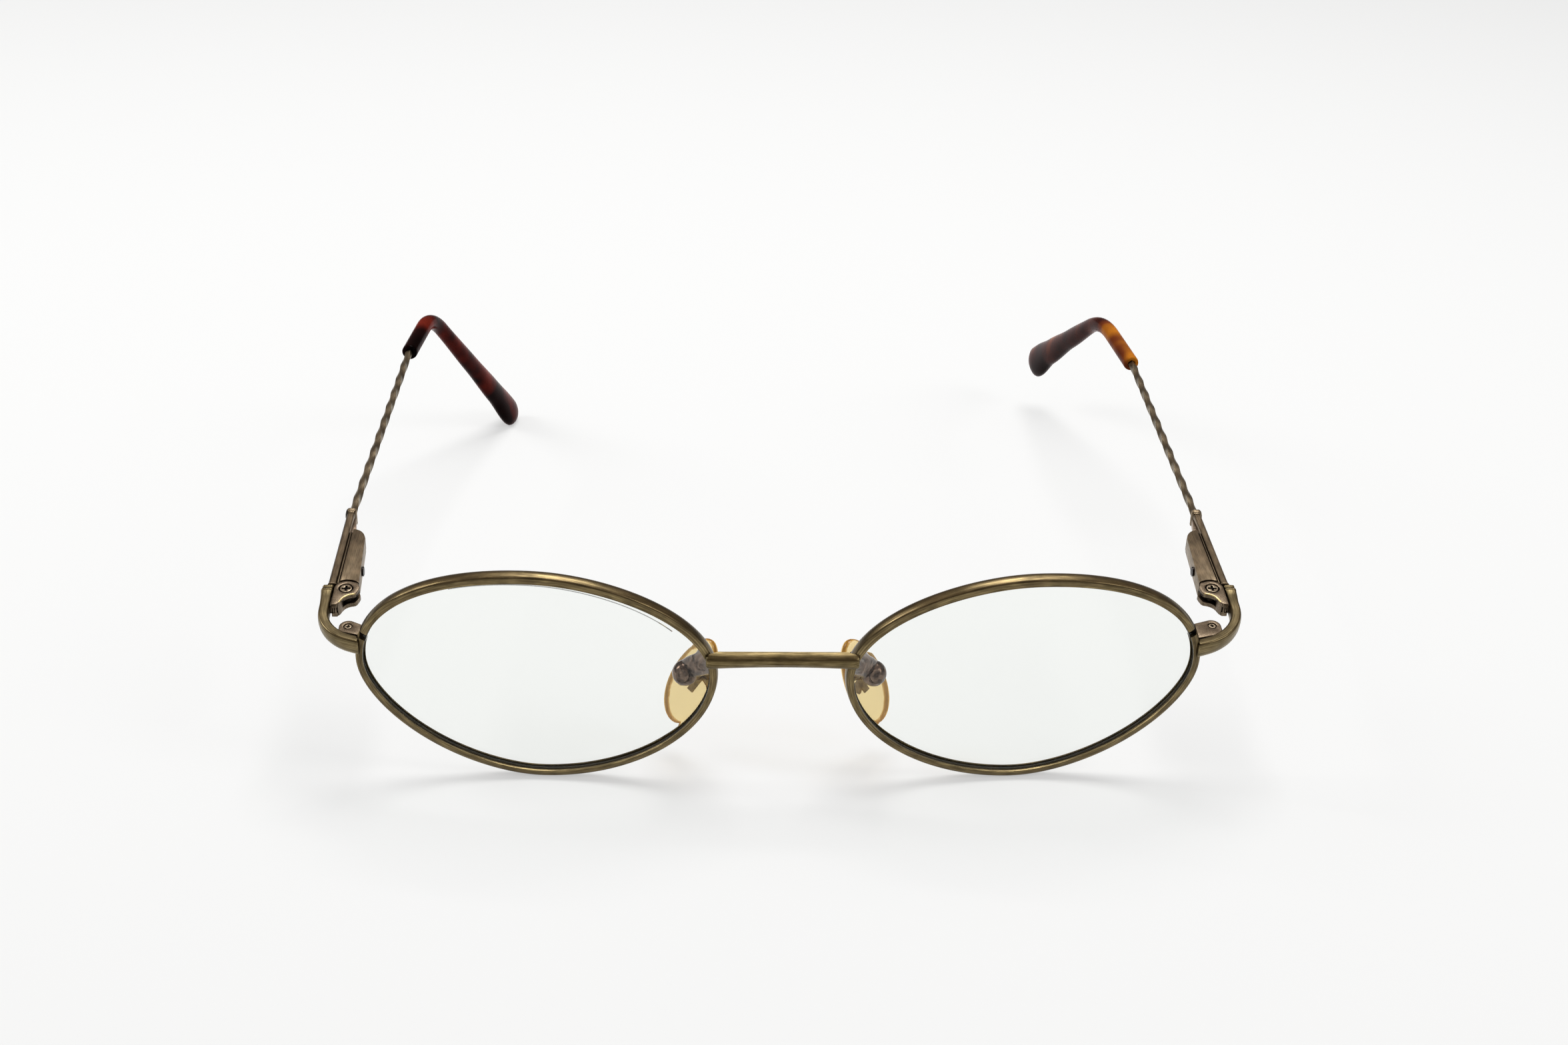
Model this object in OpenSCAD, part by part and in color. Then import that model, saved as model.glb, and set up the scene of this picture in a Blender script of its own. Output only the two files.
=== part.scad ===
// Oval metal eyeglasses with spring hinges, standing open on a table.
// Frame: +Z up, the front faces -Y, the temples run to +Y, origin under the middle of the footprint.
// Left and right are the viewer's, looking at the front.

/* [Lenses] */
// Width of one lens
lens_width = 49; // [46:0.5:52]
// Height of the lens above its widest line
lens_rise = 16.4; // [14:0.1:18]
// Height of the lens below its widest line
lens_fall = 17.9; // [15:0.1:20]
// Distance between the two lenses at the nose
lens_gap = 20.4; // [18:0.2:23]
// Thickness of the demo lens
lens_thickness = 1.4; // [1:0.1:1.6]
// Radius of the curve that lens and rim follow
base_radius = 104; // [90:1:160]
// Angle that each lens is turned back round the face
wrap_angle = 3.5; // [2:0.1:6]
// Fullness of the oval above, on the temple side (2 is an ellipse)
oval_up_out = 2.13; // [1.9:0.01:2.2]
// Fullness of the oval above, on the nose side
oval_up_in = 1.83; // [1.75:0.01:2.1]
// Fullness of the oval below, on the temple side
oval_down_out = 1.66; // [1.6:0.01:2]
// Fullness of the oval below, on the nose side
oval_down_in = 1.99; // [1.7:0.01:2.1]

/* [Rims and bridge] */
// Thickness of the rim wire, inner to outer edge
rim_thickness = 1.35; // [1.1:0.05:1.6]
// Depth of the rim wire, front to back
rim_depth = 1.9; // [1.8:0.05:2.4]
// Depth of the groove that holds the lens edge
groove_depth = 0.5; // [0.35:0.05:0.6]
// Height of the bridge bar at its ends
bridge_height = 2.5; // [1.8:0.1:2.8]
// Thickness of the bridge bar, front to back
bridge_thickness = 1.7; // [1.3:0.1:2]
// Height of the bridge's centre line above the widest line of the lenses
bridge_level = 3.1; // [2:0.1:6]
// How far the underside of the bridge is arched up at its middle
bridge_arch = 0.35; // [0:0.05:0.6]

/* [End pieces] */
// Height of the hinges above the widest line of the lenses
end_level = 3.4; // [2.8:0.1:4]
// Height of an end piece where it meets the rim
end_height = 2.65; // [2.4:0.05:3]
// How much lower an end piece sits at the rim than at the hinge
end_drop = 0.7; // [0.3:0.05:0.9]
// Height of an end piece at its back end
end_height_back = 2.2; // [2:0.1:2.4]
// Thickness of an end piece
end_thickness = 1.5; // [1.3:0.05:1.7]
// Distance of the left end piece's back end from the middle of the frame
left_end_reach = 65; // [64:0.1:66]
// Distance of the right end piece's back end from the middle of the frame
right_end_reach = 66.2; // [64:0.1:67]
// Distance of the left hinge pin behind the lens plane
left_hinge_depth = 14.8; // [14:0.1:17]
// Distance of the right hinge pin behind the lens plane
right_hinge_depth = 15.8; // [14:0.1:17]

// Distance from the left rim's side out to its lock screw
left_lock_reach = 0.9; // [0.8:0.05:2]
// Distance from the right rim's side out to its lock screw
right_lock_reach = 1.8; // [0.8:0.05:2]
// Distance of the left lock screw behind its end piece's solder face
left_lock_back = 0.1; // [0:0.05:1]
// Distance of the right lock screw behind its end piece's solder face
right_lock_back = 0.6; // [0:0.05:1]

/* [Hinges] */
// Distance from an end piece's middle inwards to the hinge pin
hinge_inset = 2.65; // [2.6:0.05:2.8]
// Thickness of each of the two hinge leaves
leaf_thickness = 0.7; // [0.6:0.05:0.8]
// Thickness of the knuckle between the leaves
knuckle_thickness = 0.8; // [0.7:0.05:0.9]
// Radius of the hinge screw's shank
screw_radius = 0.6; // [0.5:0.02:0.64]
// Radius of the hinge screw's head
screw_head_radius = 1; // [0.9:0.05:1.1]
// Radial clearance of the knuckle and leaves round the screw
running_gap = 0.05; // [0.03:0.01:0.09]
// Gap between the knuckle and each leaf
side_gap = 0.05; // [0.04:0.01:0.08]
// Length of the spring housing behind the hinge pin
housing_length = 16.6; // [16:0.1:18]
// Height of the spring housing
housing_height = 2.4; // [2.3:0.05:2.8]
// Travel of the housing against its spring
spring_travel = 0.9; // [0.5:0.1:1]
// Radius of the spring's wire
spring_wire_radius = 0.14; // [0.1:0.01:0.16]
// Turns of the spring
spring_turns = 7; // [5:1:8]

/* [Temples] */
// Length of a temple from hinge pin to tip end
temple_length = 137.6; // [130:0.2:145]
// Length of a temple from hinge pin to ear bend
bend_length = 95.8; // [90:0.2:98]
// Length of the flat bar behind the hinge pin
bar_length = 22.4; // [20:0.2:26]
// Width of the bar across
bar_width = 1.3; // [1.1:0.05:1.5]
// Height of the bar
bar_height = 2.1; // [1.9:0.05:2.3]
// Width of the twisted wire across its flats
wire_flat = 1; // [0.9:0.05:1.3]
// Width of the twisted wire across its corners
wire_corner = 1.3; // [1.1:0.05:1.6]
// Length of one full turn of the twist
twist_pitch = 20.8; // [16:0.4:26]
// Diameter of the sleeve at its mouth
sleeve_diameter = 2.7; // [2.5:0.1:3]
// Height of the flattened end of the sleeve
paddle_height = 5.6; // [4.6:0.1:6]
// Thickness of the flattened end of the sleeve
paddle_thickness = 2.5; // [2.2:0.1:3]
// Radius of the left ear bend
left_bend_radius = 10; // [6:0.5:14]
// Radius of the right ear bend
right_bend_radius = 20; // [10:0.5:22]
// Radius of the metal core inside the sleeve
core_radius = 0.55; // [0.45:0.05:0.7]

/* [Set of the temples] */
// Lean of the front, top forward, as it stands
lean = 10; // [8:0.5:11]
// Angle that the left temple rises to the back
left_rise = 3.9; // [3:0.1:5]
// Angle that the right temple rises to the back
right_rise = 4; // [3:0.1:5]
// Inward angle of the left wire
left_toe = 2.4; // [0.5:0.1:3]
// Inward angle of the right wire
right_toe = 0.5; // [0.1:0.1:3]
// Inward angle of the left sleeve ahead of its bend
left_sleeve_toe = 7.6; // [5:0.1:12]
// Inward angle of the right sleeve ahead of its bend
right_sleeve_toe = 7; // [3:0.1:12]
// Length of the left sleeve ahead of its bend
left_sleeve_lead = 16.4; // [14:0.2:20]
// Length of the right sleeve ahead of its bend
right_sleeve_lead = 19.8; // [14:0.2:22]
// Inward angle of the left sleeve past its bend, seen from above
left_tuck = 26; // [16:1:32]
// Inward angle of the right sleeve past its bend, seen from above
right_tuck = 10; // [2:1:16]
// Angle that the right sleeve drops past its bend
right_drop = 32.5; // [28:0.5:42]

/* [Nose pads] */
// Length of a nose pad
pad_length = 15.6; // [13:0.1:16.4]
// Width of a nose pad
pad_width = 7.2; // [6:0.1:8]
// Thickness of a nose pad
pad_thickness = 2.2; // [1.8:0.1:2.6]
// Distance of a pad box from the middle of the frame
box_side = 13.65; // [13.2:0.05:14.4]
// Distance of a pad box behind the lens plane
box_depth = 7.1; // [6.4:0.1:8]
// Drop of a pad box below the widest line of the lenses
box_drop = 4.7; // [4:0.1:6]
// Radius of the ball-shaped pad box
box_radius = 1.9; // [1.8:0.05:2.1]
// Turn of a pad away from the lens plane
pad_splay = 50; // [44:1:56]
// Lean of a pad, top nearer to the nose
pad_flare = 22; // [14:0.5:24]
// Distance of a pad's middle below its box
pad_hang = 2.7; // [1.5:0.1:3]
// Distance of a pad's middle behind its box
pad_back = 0.5; // [0:0.1:1]

/* [Hidden] */

LEFT = 0;
RIGHT = 1;
end_reach = [left_end_reach, right_end_reach];
hinge_depth = [left_hinge_depth, right_hinge_depth];
lock_reach = [left_lock_reach, right_lock_reach];
lock_back = [left_lock_back, right_lock_back];
rise = [left_rise, right_rise];
toe = [left_toe, right_toe];
sleeve_toe = [left_sleeve_toe, right_sleeve_toe];
sleeve_lead = [left_sleeve_lead, right_sleeve_lead];
tuck = [left_tuck, right_tuck];
bend_radius = [left_bend_radius, right_bend_radius];

brass = "#6b5f3f";
dark_brass = "#4c4433";
gunmetal = "#5a5452";
steel = "#8d8a84";
pad_clear = "#ecdcae";
tortoise = "#3a1210";
lens_clear = [0.93, 0.95, 0.95, 0.3];

// Shared shape helpers

function unit(v) = v / norm(v);

// Closed solid through a list of rings with equal point counts, capped at both ends
module skin(rings) {
    m = len(rings[0]);
    n = len(rings);
    mids = [for (r = [rings[0], rings[n - 1]]) [for (c = [0:2]) [for (p = r) p[c]] * [for (p = r) 1] / m]];
    sides = [for (i = [0:n - 2], j = [0:m - 1]) let (a = i * m + j, b = i * m + (j + 1) % m)
        each [[a, b, b + m], [a, b + m, a + m]]];
    start = [for (j = [0:m - 1]) [n * m, (j + 1) % m, j]];
    finish = [for (j = [0:m - 1]) [n * m + 1, (n - 1) * m + j, (n - 1) * m + (j + 1) % m]];
    polyhedron(points = concat([for (r = rings) each r], mids), faces = concat(sides, start, finish));
}

// Straight round rod between two points, tapered from one radius to another
module rod(p, q, r1, r2) {
    d = q - p;
    translate(p) rotate([0, acos(d.z / norm(d)), atan2(d.y, d.x)])
        cylinder(h = norm(d), r1 = r1, r2 = r2, $fn = 32);
}

// Stations along a path: each is [place, direction, distance run]
function line_stations(p, d, length, run, count) =
    [for (i = [0:count]) [p + d * length * i / count, d, run + length * i / count]];
function arc_stations(corner, d, e, r, run, count) =
    let (b = acos(d * e), y = unit(e - d * (d * e)), a = corner - d * r * tan(b / 2))
    [for (i = [0:count]) let (f = b * i / count)
        [a + r * (sin(f) * d + (1 - cos(f)) * y), cos(f) * d + sin(f) * y, run + r * f * PI / 180]];

// Lens and rim curve, in the front's own frame: x outwards, y back, z up

lens_half = lens_width / 2;
lens_centre = lens_gap / 2 + lens_half;
curve_steps = 60;

function signed_power(v, e) = sign(v) * pow(abs(v), 2 / e);
function fullness(a) = sin(a) >= 0 ? (cos(a) >= 0 ? oval_up_out : oval_up_in)
    : (cos(a) >= 0 ? oval_down_out : oval_down_in);
function oval(a, grow) = [
    (lens_half + grow) * signed_power(cos(a), fullness(a)),
    ((sin(a) >= 0 ? lens_rise : lens_fall) + grow) * signed_power(sin(a), fullness(a))];
function on_front(uv, d) =
    let (w = uv * uv / (2 * base_radius) + d, c = cos(wrap_angle), s = sin(wrap_angle))
    [lens_centre + uv.x * c - w * s, uv.x * s + w * c, uv.y];

// Angle round the oval at which the rim's outer edge is at a given height
function angle_at(z) = asin(pow(z / (lens_rise + rim_thickness), oval_up_out / 2));

// Rim wire: rounded outside, V groove inside for the lens edge
groove_half = 0.5;
rim_round = 0.3;
rim_section = let (t = rim_thickness, d = rim_depth / 2) [
    [groove_depth, 0], [0, groove_half], [0.05, d - 0.15], [rim_round, d], [t - rim_round, d],
    [t - 0.06, d - 0.24], [t, 0], [t - 0.06, 0.24 - d], [t - rim_round, -d], [rim_round, -d],
    [0.05, 0.15 - d], [0, -groove_half]];
rim_split = end_level - 0.05;
rim_notch = 0.7;
rim_angles = let (a = angle_at(rim_split + rim_notch), b = 360 + angle_at(rim_split))
    [for (i = [0:curve_steps]) a + (b - a) * i / curve_steps];
rim_rings = [for (a = rim_angles) [for (q = rim_section) on_front(oval(a, q.x), q.y)]];

// Place of the front as it stands: the lowest points of the rims touch the table
rim_points = [for (r = rim_rings) each r];
stand_height = -min([for (p = rim_points) p.y * sin(lean) + p.z * cos(lean)]);
front_edge = min([for (p = rim_points) p.y * cos(lean) - p.z * sin(lean)]);

function stand(p) =
    [p.x, p.y * cos(lean) - p.z * sin(lean), stand_height + p.y * sin(lean) + p.z * cos(lean)];

// Hinge pin places, in the front's frame and as the frame stands
function pin_local(k) = [end_reach[k] - hinge_inset, hinge_depth[k], end_level];
function pin_place(k) = stand(pin_local(k));

// Temple path: bar, wire, sleeve ahead of the bend, sleeve past the bend
knee_radius = 16;
bar_offset = hinge_inset - 0.38;
function heading(k, inward) = [-sin(inward) * cos(rise[k]), cos(inward) * cos(rise[k]), sin(rise[k])];
function bar_end(k) = pin_place(k) + [bar_offset, 0, 0] + heading(k, 0) * bar_length;
function wire_length(k) = bend_length - bar_length - sleeve_lead[k];
function knee(k) = bar_end(k) + heading(k, toe[k]) * wire_length(k);
function elbow(k) = knee(k) + heading(k, sleeve_toe[k]) * sleeve_lead[k];
drop_length = temple_length - bend_length;
function drop_heading(k, drop) = [-sin(tuck[k]) * cos(drop), cos(tuck[k]) * cos(drop), -sin(drop)];
function knee_tangent(k) = knee_radius * tan((sleeve_toe[k] - toe[k]) / 2);
function elbow_turn(k, drop) = acos(heading(k, sleeve_toe[k]) * drop_heading(k, drop));
function elbow_tangent(k, drop) = bend_radius[k] * tan(elbow_turn(k, drop) / 2);

function temple_stations(k, drop) =
    let (h = heading(k, toe[k]), s = heading(k, sleeve_toe[k]), e = drop_heading(k, drop),
        a = knee_tangent(k), b = elbow_tangent(k, drop),
        run1 = wire_length(k) - a,
        run2 = run1 + knee_radius * acos(h * s) * PI / 180,
        run3 = run2 + sleeve_lead[k] - a - b,
        run4 = run3 + bend_radius[k] * elbow_turn(k, drop) * PI / 180)
    [line_stations(bar_end(k), h, run1, 0, 62),
        arc_stations(knee(k), h, s, knee_radius, run1, 3),
        line_stations(knee(k) + s * a, s, sleeve_lead[k] - a - b, run2, 3),
        arc_stations(elbow(k), s, e, bend_radius[k], run3, 6),
        line_stations(elbow(k) + e * b, e, drop_length - b, run4, 7)];

// Sleeve, straight ahead of the bend and flattened past it
sleeve_sides = 10;
core_fit = 0.03;
function bend_side(k, drop) = unit(cross(heading(k, sleeve_toe[k]), drop_heading(k, drop)));
function ring_at(st, side, height, width) =
    let (n = unit(side - st[1] * (side * st[1])), v = cross(n, st[1]))
    [for (j = [0:sleeve_sides - 1]) let (a = -360 * j / sleeve_sides)
        st[0] + v * height / 2 * cos(a) + n * width / 2 * sin(a)];
function last(list) = list[len(list) - 1];
function sleeve_run(k, drop) = let (s = temple_stations(k, drop)) [s[2][0][2], last(s[4])[2]];
function sleeve_height(f) = lookup(f, [[0, sleeve_diameter], [0.35, sleeve_diameter],
    [0.6, paddle_height * 0.64], [0.8, paddle_height * 0.8], [0.92, paddle_height],
    [0.96, paddle_height * 0.92], [0.99, paddle_height * 0.66], [1, paddle_height * 0.3]]);
function sleeve_width(f) = lookup(f, [[0, sleeve_diameter], [0.4, sleeve_diameter * 0.95],
    [0.85, paddle_thickness], [0.96, paddle_thickness * 0.85], [1, paddle_thickness * 0.35]]);
function sleeve_stations(k, drop) =
    let (s = temple_stations(k, drop), m = s[2][0], e = last(s[4]), g = s[4][6])
    concat([m, [m[0] + m[1] * 0.3, m[1], m[2] + 0.3]],
        [for (i = [1:3]) s[2][i]], [for (i = [1:6]) s[3][i]], [for (i = [1:6]) s[4][i]],
        [for (f = [0.4, 0.75, 0.93, 1]) [g[0] + (e[0] - g[0]) * f, g[1], g[2] + (e[2] - g[2]) * f]]);
function sleeve_outer(k, drop) =
    let (run = sleeve_run(k, drop), side = bend_side(k, drop), st = sleeve_stations(k, drop))
    [for (i = [0:len(st) - 1]) let (f = (st[i][2] - run[0]) / (run[1] - run[0]), c = i == 0 ? 0.88 : 1)
        ring_at(st[i], side, c * sleeve_height(f), c * sleeve_width(f))];
function lowest(k, drop) = min([for (r = sleeve_outer(k, drop), p = r) p.z]);

// The left sleeve is bent down until it stands on the table, which a few corrections find
function drop_to_table(k, drop, tries) = tries == 0 ? drop
    : drop_to_table(k, drop + lowest(k, drop) / (drop_length * cos(drop)) * 180 / PI, tries - 1);
drops = [drop_to_table(LEFT, 48, 4), right_drop];

// The footprint's middle is the origin
back_edge = max([for (k = [LEFT, RIGHT], r = sleeve_outer(k, drops[k]), p = r) p.y]);
middle = (front_edge + back_edge) / 2;
side_middle = (right_end_reach - left_end_reach) / 2;

module placed(k) {
    translate([-side_middle, -middle, 0]) mirror([k == LEFT ? 1 : 0, 0, 0]) children();
}
module on_face(k) {
    placed(k) translate([0, 0, stand_height]) rotate([lean, 0, 0]) children();
}
module at_pin(k) {
    on_face(k) translate(pin_local(k)) children();
}
module on_temple(k) {
    placed(k) translate(pin_place(k)) rotate([rise[k], 0, 0]) children();
}
// The temple's tilt against the hinge pin
module pin_in_temple(k) {
    rotate([lean - rise[k], 0, 0]) children();
}

// Front

module rim(k) color(brass) on_face(k) skin(rim_rings);

lens_seat = 0.1;
bevel_half = 0.32;
module lens(k) {
    t = lens_thickness / 2;
    rings = [[0.35, 0, -t], [0.7, 0, -t], [1, -0.06, -t], [1, -0.06, -bevel_half],
        [1, groove_depth - lens_seat, 0],
        [1, -0.06, bevel_half], [1, -0.06, t], [0.7, 0, t], [0.35, 0, t]];
    color(lens_clear) on_face(k) skin([for (q = rings)
        [for (i = [0:curve_steps - 1]) on_front(oval(360 * i / curve_steps, q[1]) * q[0], q[2])]]);
}

// Place on the rim's middle line nearest the nose, at a height
function nose_side(z) = let (a = 180 - asin(pow(z / (lens_rise + rim_thickness / 2), oval_up_in / 2)))
    on_front(oval(a, rim_thickness / 2), 0);

bridge_proud = 1.1;
module bridge() {
    seat = nose_side(bridge_level);
    half = seat.x + rim_thickness * 0.1;
    section = [[0.5, -0.3], [0.42, -0.5], [-0.1, -0.5], [-0.38, -0.32], [-0.5, -0.1],
        [-0.5, 0.1], [-0.38, 0.32], [-0.1, 0.5], [0.42, 0.5], [0.5, 0.3]];
    places = [-1, -0.985, -0.9, -0.6, -0.3, 0, 0.3, 0.6, 0.9, 0.985, 1];
    color(brass) on_face(RIGHT) translate([0, seat.y - bridge_proud, bridge_level])
        skin([for (f = places) let (e = abs(f) == 1 ? 0.7 : 1, arch = bridge_arch * (1 - f * f))
            [for (q = section)
                [f * half, e * q.x * bridge_thickness, e * q.y * bridge_height + (q.y < 0 ? arch : 0)]]]);
}

// End piece: from the rim's front round to the side and back, with a bead at its back end
rim_side = on_front(oval(angle_at(end_level), rim_thickness), 0);
end_overlap = 0.5;
end_start_angle = 16;
end_lap = 0.85;
end_profile = [[-0.5, -0.42], [-0.42, -0.5], [0.1, -0.5], [0.37, -0.4], [0.5, -0.2],
    [0.5, 0.2], [0.37, 0.4], [0.1, 0.5], [-0.42, 0.5], [-0.5, 0.42]];
bead_length = 1.3;
bead_swell = 1.14;
seam_front = 0.88;
seam_back = 1.1;
flex_angle = 6;

function end_path(k) =
    let (s = [cos(end_start_angle), sin(end_start_angle)],
        p = [rim_side.x - end_overlap, rim_side.y - rim_depth / 2 - end_thickness / 2 + end_lap],
        lead = 1.2, a = p + s * lead, r = (end_reach[k] - a.x) / (1 - s.y),
        stop = hinge_depth[k] + seam_front,
        turn_end = a.y + r * s.x)
    concat([[p, end_start_angle], [p + s * 0.15, end_start_angle]],
        [for (i = [0:9]) let (f = end_start_angle + (90 - end_start_angle) * i / 9)
            [a + r * [sin(f) - s.y, s.x - cos(f)], f]],
        [[[end_reach[k], (turn_end + stop - bead_length) / 2], 90]],
        [for (f = [0, 0.12, 0.3, 0.6, 0.85, 1]) [[end_reach[k], stop - bead_length * (1 - f)], 90]]);
module end_piece(k) {
    path = end_path(k);
    n = len(path);
    swell = [1, 1 + (bead_swell - 1) / 2, bead_swell, bead_swell, 1.1, 1.04];
    rings = [for (i = [0:n - 1]) let (p = path[i][0], f = path[i][1], b = i - (n - 6),
            g = (b >= 0 ? swell[b] : 1) * (i == 0 ? 0.85 : 1),
            back = min(1, i / (n - 8)), ht = end_height + (end_height_back - end_height) * back,
            z = end_level - end_drop * (1 - back))
        [for (q = end_profile) let (o = q.x * end_thickness * g,
            slant = i == n - 1 ? (o + end_thickness / 2) * tan(flex_angle) : 0)
            [p.x + o * sin(f), p.y - o * cos(f) - slant, z + q.y * ht * g]]];
    color(brass) on_face(k) skin(rings);
}

// Rim lock: two tabs behind the end piece, pulled together by a screw
lock_radius = 1.25;
lock_gap = 0.25;
lock_upper_height = 0.9;
lock_lower_height = 1.25;
lock_screw_radius = 0.5;
lock_head_radius = 0.75;
lock_head_height = 0.5;
lock_fit = 0.04;
lock_clear = 0.12;
function lock_place(k) = [rim_side.x + lock_reach[k],
    rim_side.y - rim_depth / 2 + end_lap + lock_radius + lock_back[k]];
module lock_tab(k, z, height, gap) {
    c = lock_place(k);
    a = end_path(k)[0][0];
    color(dark_brass) on_face(k) difference() {
        translate([c.x, c.y, z]) union() {
            cylinder(h = height, r = lock_radius, $fn = 48);
            translate([-lock_reach[k] - 0.5, -lock_radius - lock_back[k], 0])
                cube([lock_reach[k] + 0.5, 2 * lock_radius + lock_back[k] - 0.4, height]);
            translate([-0.4, -lock_radius - lock_back[k], 0]) cube([0.8, lock_radius, height]);
        }
        translate([c.x, c.y, z - 0.1])
            cylinder(h = height + 0.2, r = lock_screw_radius + lock_fit, $fn = 32);
        translate([a.x, a.y, z - 0.1]) rotate(end_start_angle)
            translate([-4, -4, 0]) cube([12, 4 + end_thickness / 2 + gap, height + 0.2]);
    }
}
lock_screw_length = lock_lower_height + lock_gap + lock_upper_height + 0.02;
lock_upper_base = rim_split + lock_gap;
lock_lower_base = rim_split - lock_lower_height;
module rim_lock_upper(k) lock_tab(k, lock_upper_base, lock_upper_height, lock_clear);
module rim_lock_lower(k) lock_tab(k, lock_lower_base, lock_lower_height, -0.1);
module rim_screw(k) {
    c = lock_place(k);
    color(steel) on_face(k) translate([c.x, c.y, lock_lower_base]) difference() {
        union() {
            cylinder(h = lock_screw_length, r = lock_screw_radius, $fn = 32);
            translate([0, 0, -lock_head_height])
                cylinder(h = lock_head_height, r = lock_head_radius, $fn = 32);
        }
        translate([-lock_head_radius, -0.12, -lock_head_height - 0.1])
            cube([2 * lock_head_radius, 0.24, 0.35]);
    }
}

// Hinge: a fork of two leaves on the front, a knuckle on the temple's slider
leaf_reach = 2;
leaf_back = 1.7;
block_start = 3.8;
inner_face = hinge_inset - end_thickness / 2;
leaf_inner = inner_face - 0.2;
stack_half = knuckle_thickness / 2 + side_gap + leaf_thickness;

leaf_outline = [
    [leaf_inner, -block_start], [0.95, -block_start], [0.55, 0.5 - block_start], [0.3, -2.6], [0.05, -2.1],
    [-0.35, -1.75], [-0.8, -1.52],
    [-1.45, -1.38], [-1.7, -0.9], [-1.93, -0.1], [-1.95, 0.35], [-1.52, 1.27], [-0.9, 1.32],
    [0, 1.3], [leaf_inner, 0]];
block_back = 1.75;
module leaf_shape() {
    polygon(leaf_outline);
    circle(r = leaf_back, $fn = 64);
}
module block_shape() {
    polygon([[leaf_inner, -block_start], [0.95, -block_start], [0.55, 0.5 - block_start], [0.3, -2.6],
        [0.3, -block_back], [leaf_inner, -block_back]]);
}
foot_half = 0.7;
module hinge_fork(k) {
    color(dark_brass) at_pin(k) difference() {
        union() {
            for (z = [-stack_half, stack_half - leaf_thickness])
                translate([0, 0, z]) linear_extrude(leaf_thickness) leaf_shape();
            translate([0, 0, -stack_half]) linear_extrude(2 * stack_half) block_shape();
            translate([leaf_inner - 0.1, -block_start + 0.2, -foot_half])
                cube([inner_face - leaf_inner + 0.1, 2, 2 * foot_half]);
        }
        translate([0, 0, -stack_half - 0.1])
            cylinder(h = 2 * stack_half + 0.2, r = screw_radius + running_gap, $fn = 48);
        translate([0, 0, stack_half - head_sink])
            cylinder(h = head_sink + 0.1, r = screw_head_radius + 0.06, $fn = 48);
    }
}

head_sink = 0.38;
head_height = 0.34;
recess_depth = 0.2;
recess_length = 1.3;
recess_width = 0.28;
module hinge_screw(k) {
    top = stack_half - head_sink + head_height;
    color(steel) at_pin(k) difference() {
        union() {
            translate([0, 0, -stack_half]) cylinder(h = stack_half + top, r = screw_radius, $fn = 48);
            translate([0, 0, top - head_height]) cylinder(h = head_height, r = screw_head_radius, $fn = 48);
        }
        for (a = [0, 90]) rotate(a) translate([-recess_length / 2, -recess_width / 2, top - recess_depth])
            cube([recess_length, recess_width, recess_depth + 0.1]);
    }
}

// Slider: the knuckle, a flat neck and a rod with a stop at its end
knuckle_radius = 1.4;
neck_half = 0.62;
neck_joint = 2.15;
neck_end = 4.9;
rod_radius = 0.35;
guide_start = 5.5;
guide_length = 1.6;
coil_spare = 0.9;
coil_start = guide_start + guide_length + 0.02;
coil_length = 2 * spring_wire_radius * (spring_turns + 1) + spring_travel + coil_spare;
stop_start = coil_start + coil_length + 0.02;
stop_length = 0.6;
stop_radius = 0.8;
module spring_slider(k) {
    color(steel) on_temple(k) difference() {
        union() {
            pin_in_temple(k) translate([0, 0, -knuckle_thickness / 2]) linear_extrude(knuckle_thickness) {
                circle(r = knuckle_radius, $fn = 48);
                translate([-neck_half, 0]) square([2 * neck_half, neck_joint + 0.25]);
            }
            translate([-neck_half, neck_joint, -knuckle_thickness / 2])
                cube([2 * neck_half, neck_end - neck_joint, knuckle_thickness]);
            translate([0, neck_end - 0.1, 0]) rotate([-90, 0, 0])
                cylinder(h = stop_start - neck_end + 0.2, r = rod_radius, $fn = 32);
            translate([0, stop_start, 0]) rotate([-90, 0, 0])
                cylinder(h = stop_length, r = stop_radius, $fn = 32);
        }
        pin_in_temple(k) translate([0, 0, -1]) cylinder(h = 2, r = screw_radius + running_gap, $fn = 48);
    }
}

// Coil spring round the rod, between the guide and the stop
guide_radius = 0.92;
coil_radius = 0.64;
coil_sides = 6;
coil_rings = 8;
module spring(k) {
    w = spring_wire_radius;
    climb = (coil_length - 2 * w) / (spring_turns * coil_rings);
    color(steel) on_temple(k) translate([0, coil_start + w, 0])
        skin([for (i = [0:spring_turns * coil_rings]) let (f = -360 * i / coil_rings)
            [for (j = [0:coil_sides - 1]) let (a = 360 * j / coil_sides, r = coil_radius + w * cos(a))
                [r * cos(f), climb * i + w * sin(a), r * sin(f)]]]);
}

// Guide that the spring pushes on, held in the housing by a screw
rod_gap = 0.07;
guide_screw_place = guide_start + guide_length / 2;
guide_screw_radius = 0.35;
guide_screw_tip = 0.5;
guide_head_radius = 0.72;
guide_head_height = 0.25;
module spring_guide(k) {
    color(steel) on_temple(k) difference() {
        translate([0, guide_start, 0]) rotate([-90, 0, 0])
            cylinder(h = guide_length, r = guide_radius, $fn = 48);
        translate([0, guide_start - 0.1, 0]) rotate([-90, 0, 0])
            cylinder(h = guide_length + 0.2, r = rod_radius + rod_gap, $fn = 32);
        translate([-2, guide_screw_place, 0]) rotate([0, 90, 0])
            cylinder(h = 2 - guide_screw_tip, r = guide_screw_radius + 0.03, $fn = 32);
    }
}

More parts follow.
